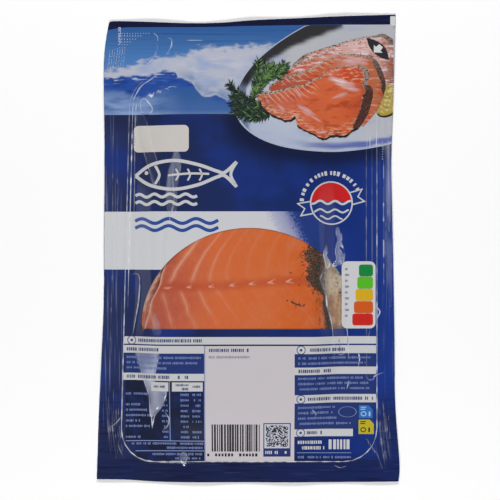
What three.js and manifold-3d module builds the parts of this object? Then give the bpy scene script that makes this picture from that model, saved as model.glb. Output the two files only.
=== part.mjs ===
// A flat vacuum pack of smoked salmon, lying on its back with the printed side up.
// Millimetres. +X is to the right of the printed side, +Y runs to the pack's top edge, +Z is up.
// From the floor up: formed base film, insert card, salmon with its herb crust, and the top film,
// whose clear stretch in front of the fish is a panel of its own.
import * as THREE from "three";
import { mergeVertices } from "three/addons/utils/BufferGeometryUtils.js";
import Module from "manifold-3d";

// ---- Driving dimensions ----
const FILM = 0.3; // wall of either film
const GAP = 0.3; // clear space between neighbouring pieces

// The cut edges of the two films, as the points that each smooth edge passes through.
const TOP_EDGE = [
  [-72, 115.7], [-67.4, 116.9], [-35, 115.7], [-14, 115.6], [6, 117.1], [44, 118.7], [75.2, 119.7],
];
const RIGHT_EDGE = [
  [77, -119.1], [77.5, -111], [75.9, -88], [75, -70], [75.2, -58], [74.2, 0], [73.6, 30], [75.2, 119.7],
];
const BOTTOM_EDGE = [
  [-77.4, -118.1], [-63.7, -118.3], [-44, -119.4], [-14, -119.7], [50, -119.1], [77, -119.1],
];
const LEFT_EDGE = [
  [-77.4, -118.1], [-76.6, -85], [-75.2, -55], [-73.6, 20], [-74, 60], [-74.3, 97], [-72, 115.7],
];

// The formed pocket: a rounded rectangle on the floor, with the sealed flange standing round it.
const POCKET = { x: 1.5, y: -10, halfWidth: 64.5, halfLength: 99.5, corner: 17, wall: 4.5 };
const FLANGE_HEIGHT = 1.2; // underside of the sealed flange above the floor, beside the pocket
const FLANGE_DROOP = 0.6; // how far the flange's free edge hangs down
const FLANGE_REACH = 12; // flange width over which it droops
const RIPPLE = 0.32; // height of the ripples along the flange
const RIPPLE_PITCH = 47; // length of one ripple

// The fish: one rounded slab of slices, thickest in its middle.
const SALMON = { x: -6.75, y: -10.5, halfWidth: 49.25, halfLength: 88, rounding: 0.3 };
const CROWN_HEIGHT = 7; // underside of the top film over the middle of the fish
const SLOPE_START = 0.78; // share of the fish's reach where the film starts to fall
const SLOPE_END = 1.14; // share of the fish's reach where the film meets the flange level
const SWELL = 0.35; // height of the soft swells that the slices give the film
const CRUST_WIDTH = 6; // herb crust along the right side of the slices
const CRUST_LUMP = 1.1; // how far its inner side wanders
const CRUST_REACH = 0.8; // share of the fish's length that it runs along

const CARD = { x: 1, y: -10.5, width: 112, length: 182, corner: 9, board: 0.6 };

// The unprinted half-ellipse of the top film, in front of the fish.
const WINDOW = { x: 0.5, y: -41.2, halfWidth: 55.6, height: 51.7 };

const TOP_GRID = [30, 46];
const BASE_GRID = [22, 32];
const SALMON_ROWS = 40; // rows along the fish, which the herb crust shares so that the two sides match
const SALMON_GRID = [14, SALMON_ROWS];
const CRUST_GRID = [3, Math.round(SALMON_ROWS * CRUST_REACH)];
const CURVE_STEPS = 22; // segments in the window's arc
const EDGE_CROWDING = 0.45; // how much closer the film's grid lines stand near its edges

// ---- Working surfaces ----
const curveOf = (points) => new THREE.SplineCurve(points.map(([x, y]) => new THREE.Vector2(x, y)));
const topEdge = curveOf(TOP_EDGE);
const rightEdge = curveOf(RIGHT_EDGE);
const bottomEdge = curveOf(BOTTOM_EDGE);
const leftEdge = curveOf(LEFT_EDGE);

const smooth = (low, high, value) => THREE.MathUtils.smoothstep(value, low, high);
const blend = (a, b, share) => a + (b - a) * share;
const crowd = (share) => share - (EDGE_CROWDING * Math.sin(2 * Math.PI * share)) / (2 * Math.PI);

// A point of the film sheet, blended between its four cut edges.
function sheetPoint(u, v) {
  const along = [bottomEdge.getPointAt(u), topEdge.getPointAt(u)];
  const across = [leftEdge.getPointAt(v), rightEdge.getPointAt(v)];
  const lowCorners = [leftEdge.getPointAt(0), rightEdge.getPointAt(0)];
  const highCorners = [leftEdge.getPointAt(1), rightEdge.getPointAt(1)];
  const [x, y] = ["x", "y"].map((axis) => {
    const ruled = blend(along[0][axis], along[1][axis], v) + blend(across[0][axis], across[1][axis], u);
    const low = blend(lowCorners[0][axis], lowCorners[1][axis], u);
    const high = blend(highCorners[0][axis], highCorners[1][axis], u);
    return ruled - blend(low, high, v);
  });
  return [x, y];
}

// Distance outside the pocket's rounded outline, negative inside it.
function outsidePocket(x, y) {
  const dx = Math.abs(x - POCKET.x) - POCKET.halfWidth + POCKET.corner;
  const dy = Math.abs(y - POCKET.y) - POCKET.halfLength + POCKET.corner;
  const beyond = Math.hypot(Math.max(dx, 0), Math.max(dy, 0));
  return beyond + Math.min(Math.max(dx, dy), 0) - POCKET.corner;
}

// Underside of the base film: flat on the floor, up the pocket's wall, then the rippled flange.
function baseUnderside(x, y) {
  const out = outsidePocket(x, y);
  const rise = smooth(-POCKET.wall, 0, out);
  const free = THREE.MathUtils.clamp(out / FLANGE_REACH, 0, 1);
  const ripple = RIPPLE * free * Math.sin((2 * Math.PI * (x - 0.7 * y)) / RIPPLE_PITCH);
  return rise * (FLANGE_HEIGHT - FLANGE_DROOP * free * free + ripple);
}

// How far out a point lies in the fish's outline: 0 in the middle, 1 on its edge.
function fishShare(x, y) {
  const s = Math.abs(x - SALMON.x) / SALMON.halfWidth;
  const t = Math.abs(y - SALMON.y) / SALMON.halfLength;
  return Math.pow(s ** 4 + t ** 4, 1 / 4);
}

// Underside of the top film: drawn tight over the fish, and level with the flange round it.
function topUnderside(x, y) {
  const level = outsidePocket(x, y) > 0 ? baseUnderside(x, y) : FLANGE_HEIGHT;
  const cover = 1 - smooth(SLOPE_START, SLOPE_END, fishShare(x, y));
  const swell = SWELL * cover * Math.sin(x / 13 + 0.8) * Math.cos(y / 21 - 0.4);
  return blend(level + FILM + GAP, CROWN_HEIGHT, cover) + swell;
}

// ---- Solids ----
// A closed slab from a unit box, each of its corners moved by place(u, v, w).
function slab([columns, rows], place) {
  const box = new THREE.BoxGeometry(1, 1, 1, columns, rows, 1);
  box.deleteAttribute("normal");
  box.deleteAttribute("uv");
  const geometry = mergeVertices(box, 1e-5);
  const position = geometry.getAttribute("position");
  for (let i = 0; i < position.count; i += 1) {
    const [u, v, w] = [position.getX(i) + 0.5, position.getY(i) + 0.5, position.getZ(i) + 0.5];
    position.setXYZ(i, ...place(u, v, w));
  }
  geometry.computeVertexNormals();
  return geometry;
}

// A film of one wall's thickness over the whole sheet, standing on the surface underside(x, y).
function filmGeometry(grid, underside) {
  return slab(grid, (u, v, w) => {
    const [x, y] = sheetPoint(crowd(u), crowd(v));
    return [x, y, underside(x, y) + w * FILM];
  });
}

// A point of the fish's plan from its square of -1 to 1 each way, the corners drawn in.
function fishPoint(s, t) {
  const x = SALMON.x + SALMON.halfWidth * s * Math.sqrt(1 - SALMON.rounding * t * t);
  const y = SALMON.y + SALMON.halfLength * t * Math.sqrt(1 - SALMON.rounding * s * s);
  return [x, y];
}

const FISH_FLOOR = FILM + GAP + CARD.board + GAP;
const fishTop = (x, y) => topUnderside(x, y) - GAP;

// Width of the herb crust at t along the fish, as a share of the fish's half width.
function crustShare(t) {
  const taper = Math.max(1 - (t / 0.9) ** 4, 0);
  const lumps = CRUST_LUMP * (0.6 * Math.sin(19 * t + 1) + 0.4 * Math.sin(43 * t));
  return (taper * (CRUST_WIDTH + lumps)) / SALMON.halfWidth;
}

function salmonGeometry() {
  return slab(SALMON_GRID, (u, v, w) => {
    const t = 2 * v - 1;
    const right = 1 - crustShare(t);
    const [x, y] = fishPoint(blend(-1, right, u), t);
    return [x, y, blend(FISH_FLOOR, fishTop(x, y), w)];
  });
}

function crustGeometry() {
  const gapShare = (1.35 * GAP) / SALMON.halfWidth;
  return slab(CRUST_GRID, (u, v, w) => {
    const t = blend(-CRUST_REACH, CRUST_REACH, v);
    const left = 1 - crustShare(t) + gapShare;
    const [x, y] = fishPoint(blend(left, 1, u), t);
    const crumb = 0.35 * (1 + Math.sin(61 * t + 5 * u));
    return [x, y, blend(FISH_FLOOR, fishTop(x, y) - crumb, w)];
  });
}

function cardGeometry() {
  const { width, length, corner, board } = CARD;
  const [right, top] = [width / 2 - corner, length / 2 - corner];
  const outline = new THREE.Shape();
  outline.absarc(right, top, corner, 0, Math.PI / 2);
  outline.absarc(-right, top, corner, Math.PI / 2, Math.PI);
  outline.absarc(-right, -top, corner, Math.PI, 1.5 * Math.PI);
  outline.absarc(right, -top, corner, 1.5 * Math.PI, 2 * Math.PI);
  const card = new THREE.ExtrudeGeometry(outline, { depth: board, bevelEnabled: false, curveSegments: 6 });
  return card.translate(CARD.x, CARD.y, FILM + GAP);
}

// A tall prism over the clear half-ellipse, drawn in by the given margin on every side.
function windowPrism(margin) {
  const outline = new THREE.Shape();
  outline.absellipse(0, 0, WINDOW.halfWidth - margin, WINDOW.height - 2 * margin, 0, Math.PI);
  outline.closePath();
  const prism = new THREE.ExtrudeGeometry(outline, {
    depth: 3 * CROWN_HEIGHT,
    bevelEnabled: false,
    curveSegments: CURVE_STEPS,
  });
  return prism.translate(WINDOW.x, WINDOW.y + margin, -CROWN_HEIGHT);
}

// ---- Cutting the clear panel out of the top film ----
const wasm = await Module();
wasm.setup();

function solidOf(geometry) {
  const bare = geometry.clone();
  bare.deleteAttribute("normal");
  bare.deleteAttribute("uv");
  const merged = mergeVertices(bare, 1e-4);
  const mesh = new wasm.Mesh({
    numProp: 3,
    vertProperties: new Float32Array(merged.getAttribute("position").array),
    triVerts: new Uint32Array(merged.index.array),
  });
  return new wasm.Manifold(mesh);
}

function geometryOf(solid) {
  const mesh = solid.getMesh();
  const geometry = new THREE.BufferGeometry();
  geometry.setAttribute("position", new THREE.BufferAttribute(mesh.vertProperties, 3));
  geometry.setIndex(new THREE.BufferAttribute(mesh.triVerts, 1));
  geometry.computeVertexNormals();
  return geometry;
}

const wholeTopFilm = solidOf(filmGeometry(TOP_GRID, topUnderside));
const printedFilm = wholeTopFilm.subtract(solidOf(windowPrism(0)));
const clearPanel = wholeTopFilm.intersect(solidOf(windowPrism(GAP)));

// ---- The pack ----
const finish = (color, roughness, extra = {}) =>
  new THREE.MeshStandardMaterial({ color, roughness, metalness: 0, ...extra });
const pieces = {
  base_film: [filmGeometry(BASE_GRID, baseUnderside), finish(0xc9ced6, 0.25)],
  insert_card: [cardGeometry(), finish(0xa98c69, 0.6)],
  salmon: [salmonGeometry(), finish(0xc7683c, 0.4)],
  herb_crust: [crustGeometry(), finish(0x3a3e26, 0.8)],
  top_film: [geometryOf(printedFilm), finish(0x22356e, 0.22)],
  window_film: [geometryOf(clearPanel), finish(0xf2f4f6, 0.1, { transparent: true, opacity: 0.3 })],
};

const pack = new THREE.Group();
for (const [name, [geometry, material]] of Object.entries(pieces)) {
  const mesh = new THREE.Mesh(geometry, material);
  mesh.name = name;
  pack.add(mesh);
}

// The origin is the middle of the pack's footprint, on the floor.
const bounds = new THREE.Box3().setFromObject(pack);
const middle = bounds.getCenter(new THREE.Vector3());
pack.position.set(-middle.x, -middle.y, -bounds.min.z);

export default pack;
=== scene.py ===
"""Dresses the vacuum pack of smoked salmon: films, print, insert board, fish and herbs.

Lengths are millimetres until a mesh is made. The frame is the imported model's: +X to the right of the
printed side, +Y to the pack's top edge, +Z up from the floor that the pack lies on.
"""
import logging
import math
from dataclasses import dataclass, field
from enum import Enum
from functools import cache
from typing import Any

import bpy
import numpy as np
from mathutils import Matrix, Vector
from mathutils.geometry import delaunay_2d_cdt


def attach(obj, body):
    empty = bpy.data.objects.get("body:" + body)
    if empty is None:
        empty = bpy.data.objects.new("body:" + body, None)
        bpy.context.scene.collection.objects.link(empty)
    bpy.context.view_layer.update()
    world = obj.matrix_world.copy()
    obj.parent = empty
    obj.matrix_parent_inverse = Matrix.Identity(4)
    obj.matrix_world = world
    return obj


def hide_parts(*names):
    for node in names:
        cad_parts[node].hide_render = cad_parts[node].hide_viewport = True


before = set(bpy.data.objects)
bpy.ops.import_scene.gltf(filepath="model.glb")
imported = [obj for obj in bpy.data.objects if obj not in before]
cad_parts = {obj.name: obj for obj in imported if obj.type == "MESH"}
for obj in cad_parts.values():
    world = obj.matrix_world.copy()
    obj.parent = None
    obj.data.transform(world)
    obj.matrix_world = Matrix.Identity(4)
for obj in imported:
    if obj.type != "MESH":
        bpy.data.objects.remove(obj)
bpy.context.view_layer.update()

LOG = logging.getLogger("pack")
MM = 0.001
BODY = "root"
INK_DEPTH = 0.05  # mm, thicker than real ink so that its mesh stands clear of the film

Array = np.ndarray
Point = tuple[float, float]
Line = tuple[Point, ...]
Material = bpy.types.Material
Node = bpy.types.Node
Piece = bpy.types.Object
Socket = bpy.types.NodeSocket
Tree = bpy.types.NodeTree
FAMILIES = ("ShaderNode", "GeometryNode", "FunctionNode", "")  # how the node types' names start


# ---- Small tools ----
def linear(code: str) -> tuple[float, float, float, float]:
    """Turns an sRGB hex colour to linear light.

    Args:
        code: six hex digits.
    Returns:
        red, green, blue and an alpha of 1.
    """
    parts = [int(code[i : i + 2], 16) / 255 for i in (0, 2, 4)]
    red, green, blue = [p / 12.92 if p <= 0.04045 else ((p + 0.055) / 1.055) ** 2.4 for p in parts]
    return (red, green, blue, 1.0)


def add(tree: Tree, kind: str, *inputs: Any, at: dict[int, Any] | None = None, **named: Any) -> Node:
    """Adds one node with its settings and links. An input takes a value, an output or a node's first output.

    Args:
        tree: the node tree.
        kind: the node's type name, without its family.
        inputs: the first inputs in order.
        at: further inputs by number.
        named: settings, and inputs by name with a capital and _ for a space.
    Returns:
        the new node.
    """
    node = tree.nodes.new(next(family + kind for family in FAMILIES if hasattr(bpy.types, family + kind)))
    for name in filter(str.islower, named):
        setattr(node, name, named[name])
    fed = {**dict(enumerate(inputs)), **(at or {})}
    fed.update((name.replace("_", " "), value) for name, value in named.items() if not name.islower())
    for socket, source in fed.items():
        if isinstance(source, (Node, Socket)):
            tree.links.new(source.outputs[0] if isinstance(source, Node) else source, node.inputs[socket])
        else:
            node.inputs[socket].default_value = source
    return node


def ease(low: float, high: float, value: Any) -> Any:
    """Rises smoothly from 0 at low to 1 at high."""
    share = np.clip((value - low) / (high - low), 0.0, 1.0)
    return share * share * (3.0 - 2.0 * share)


def wander(x: Array, y: Array, cell: Point, seed: int) -> Array:
    """Smooth seeded unevenness.

    Args:
        x: their x.
        y: their y.
        cell: size of one swell each way.
        seed: the random seed.
    Returns:
        values from -1 to 1.
    """
    table = np.random.default_rng(seed).uniform(-1, 1, (64, 64))
    u, v = x / cell[0], y / cell[1]
    i, j = np.floor(u).astype(int), np.floor(v).astype(int)
    a, b = ease(0, 1, u - i), ease(0, 1, v - j)
    low = table[i % 64, j % 64] * (1 - a) + table[(i + 1) % 64, j % 64] * a
    high = table[i % 64, (j + 1) % 64] * (1 - a) + table[(i + 1) % 64, (j + 1) % 64] * a
    return low * (1 - b) + high * b


def stacked(*columns: Array) -> Array:
    """Columns side by side as one array."""
    return np.column_stack(columns)


def evenly(line: Array, count: int) -> Array:
    """The same line in count points that stand equally far apart along it."""
    run = np.concatenate([[0.0], np.cumsum(np.hypot(*np.diff(line, axis=0).T))])
    wanted = np.linspace(0.0, run[-1], count)
    return stacked(*[np.interp(wanted, run, line[:, axis]) for axis in (0, 1)])


def spline(points: Any, count: int = 200) -> Array:
    """A smooth line through points, in steps of equal length.

    Args:
        points: the points that the line passes through.
        count: how many points come back.
    Returns:
        an array of count rows of x and y.
    """
    knots = np.asarray(points, float)
    padded = np.vstack([knots[:1], knots, knots[-1:]])
    shares = np.linspace(0.0, 1.0, 24, endpoint=False)[:, None]
    pieces = []
    for before, start, end, after in zip(padded, padded[1:], padded[2:], padded[3:]):
        leave, arrive = (end - before) / 2, (after - start) / 2
        cubic = (2 * start - 2 * end + leave + arrive) * shares**3
        square = (-3 * start + 3 * end - 2 * leave - arrive) * shares**2
        pieces.append(cubic + square + leave * shares + start)
    return evenly(np.vstack(pieces + [knots[-1:]]), count)


def at_height(line: Any, y: Array) -> Array:
    """The x of a line that runs up the pack at each height."""
    return np.interp(y, *np.array(line).T[::-1])


def closed_evenly(loop: Array, step: float) -> Array:
    """A closed outline in points about step apart, without repeating the first."""
    ring = np.vstack([loop, loop[:1]])
    length = np.hypot(*np.diff(ring, axis=0).T).sum()
    return evenly(ring, max(int(length / step), 8) + 1)[:-1]


def inside(loop: Array, x: Array, y: Array) -> Array:
    """Tells which points lie inside a closed outline."""
    result = np.zeros(x.shape, bool)
    for (x0, y0), (x1, y1) in zip(loop, np.roll(loop, -1, axis=0)):
        if y0 != y1:
            crossing = (x1 - x0) * (y - y0) / (y1 - y0) + x0
            result ^= ((y0 > y) != (y1 > y)) & (x < crossing)
    return result


def in_box(line: Array, x: Array, y: Array, reach: float = 0.0) -> Array:
    """Tells which points lie within reach of the upright box round a line."""
    (left, low), (right, high) = line.min(axis=0) - reach, line.max(axis=0) + reach
    return (x > left) & (x < right) & (y > low) & (y < high)


def distance_to(line: Array, x: Array, y: Array) -> tuple[Array, Array, Array]:
    """Measures points against an open line.

    Args:
        line: the line's points.
        x: their x.
        y: their y.
    Returns:
        the distance, the side (1 on the line's left, -1 on its right) and the share of the line run.
    """
    best, side, run = np.full(x.shape, np.inf), np.zeros(x.shape), np.zeros(x.shape)
    for index, (start, end) in enumerate(zip(line[:-1], line[1:])):
        span = end - start
        share = ((x - start[0]) * span[0] + (y - start[1]) * span[1]) / max(float(span @ span), 1e-9)
        share = np.clip(share, 0, 1)
        off_x, off_y = x - start[0] - share * span[0], y - start[1] - share * span[1]
        gap = np.hypot(off_x, off_y)
        nearer = gap < best
        best = np.where(nearer, gap, best)
        side = np.where(nearer, np.sign(span[0] * off_y - span[1] * off_x), side)
        run = np.where(nearer, (index + share) / (len(line) - 1), run)
    return best, side, run


def depth_in(loop: Array, x: Array, y: Array) -> Array:
    """How far inside a closed outline points lie, negative outside it."""
    gap = distance_to(np.vstack([loop, loop[:1]]), x, y)[0]
    return np.where(inside(loop, x, y), gap, -gap)


def ellipse(centre: Point, radii: Point, tilt: float = 0.0, start: float = 0.0, end: float = 360.0,
        count: int = 96) -> Array:
    """Points round an ellipse, or a stretch of one.

    Args:
        centre: its middle.
        radii: its half lengths.
        tilt: its turn in degrees.
        start: the first point's angle in degrees.
        end: the last point's angle in degrees.
        count: the number of points.
    Returns:
        an array of x and y.
    """
    whole = abs(end - start - 360.0) < 1e-6
    angles = np.radians(np.linspace(start, end, count, endpoint=not whole))
    along, across = radii[0] * np.cos(angles), radii[1] * np.sin(angles)
    turn = math.radians(tilt)
    return stacked(centre[0] + along * math.cos(turn) - across * math.sin(turn),
        centre[1] + along * math.sin(turn) + across * math.cos(turn))


def rounded(x0: float, y0: float, x1: float, y1: float, radius: float) -> Array:
    """Outline of an upright rectangle with round corners."""
    corners = [(x1 - radius, y1 - radius, 0.0), (x0 + radius, y1 - radius, 90.0), (x0 + radius, y0 + radius,
        180.0), (x1 - radius, y0 + radius, 270.0)]
    return np.vstack([ellipse((cx, cy), (radius, radius), 0.0, lead, lead + 90.0, 7) for cx, cy,
        lead in corners])


def ribbon(line: Array, width: Any) -> Array:
    """Outline of a strip of the given width, or widths, along a line."""
    ahead = np.gradient(line, axis=0)
    normal = stacked(-ahead[:, 1], ahead[:, 0]) / np.maximum(np.hypot(*ahead.T), 1e-9)[:, None]
    half = np.broadcast_to(np.asarray(width, float) / 2, (len(line),))[:, None]
    return np.vstack([line - normal * half, (line + normal * half)[::-1]])


# ---- The pack's form ----
@dataclass(frozen=True)
class Fold:
    """One crease of the top film: its line, height, flank widths, pale line and breaks. The pale line is film
    turned white by stress, with a painted highlight along the crest.

    A groove has a height below 0. A fold with a right width stands like a tent, with straight flanks.
    """

    points: Line
    height: float
    width: float
    haze: float = 0.5
    broken: float = 0.0
    right_width: float = 0.0

    def measure(self, x: Array, y: Array) -> tuple[Array, Array]:
        """The fold's height and its pale share at each point: film turned white by stress, with a painted
        highlight.

        Args:
            x: their x.
            y: their y.
        Returns:
            the height in mm and the pale share from 0 to 1, film turned white by stress with a painted
            highlight.
        """
        line = spline(self.points, 8 * len(self.points))
        near = in_box(line, x, y, 3 * max(self.width, self.right_width))
        rise, pale = np.zeros(x.shape), np.zeros(x.shape)
        if not near.any():
            return rise, pale
        gap, side, run = distance_to(line, x[near], y[near])
        fade = np.sqrt(np.sin(np.pi * np.clip(run, 0.02, 0.98)))
        fade = fade * (1 - self.broken * ease(-0.3, 0.5, wander(x[near], y[near], (3.0, 3.2), 7)))
        if self.right_width:
            profile = np.clip(1 - gap / np.where(side < 0, self.right_width, self.width), 0, 1)
        else:
            profile = np.exp(-((gap / self.width) ** 2))
        rise[near] = self.height * profile * fade
        pale[near] = 0.3 * self.haze * np.exp(-((gap / min(0.7 * self.width, 0.8)) ** 2)) * fade
        return rise, pale

    def line(self) -> tuple[Array, float, float]:
        """The crest's line, how white it is and how broken."""
        return spline(self.points, 10 * len(self.points)), self.haze, self.broken


@dataclass(frozen=True)
class Pucker:
    """A patch where the film has lifted off: outline, height, flank width, haze, rim haze and crumpling. Its
    haze and rim haze are painted glare, pale fields and rims that stand for the lights' reflection in the
    lifted film.
    """

    points: Line
    height: float
    flank: float
    haze: float
    rim: float
    crumple: float = 0.0

    def measure(self, x: Array, y: Array) -> tuple[Array, Array]:
        """The patch's height and its painted glare at each point.

        Args:
            x: their x.
            y: their y.
        Returns:
            the height in mm and the whitening from 0 to 1.
        """
        loop = spline(self.points + self.points[:1], 7 * len(self.points))[:-1]
        near = in_box(loop, x, y, 1.5)
        rise, pale = np.zeros(x.shape), np.zeros(x.shape)
        if not near.any():
            return rise, pale
        depth = depth_in(loop, x[near], y[near])
        uneven = wander(x[near], y[near], (2.4, 7.0), 3)
        rise[near] = self.height * ease(-0.4, self.flank, depth)
        rise[near] += self.crumple * ease(-0.2, 1.4, depth) * (0.6 - 2 * np.abs(uneven))
        fill = ease(-0.2, 0.5, depth) * (0.85 + 0.35 * wander(x[near], y[near], (3.4, 11.0), 5))
        pale[near] = np.maximum(self.haze * fill, 0.4 * self.rim * np.exp(-((depth / 0.6) ** 2)))
        return rise, pale

    def line(self) -> tuple[Array, float, float]:
        """The rim's line, how white it is and how broken."""
        return spline(self.points + self.points[:1], 9 * len(self.points)), self.rim, 0.3


# Creases and lifted patches of the top film. Each one's haze and rim set a pale share: film turned white by
# stress, painted highlights along crests and painted glare over lifted patches.
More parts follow.
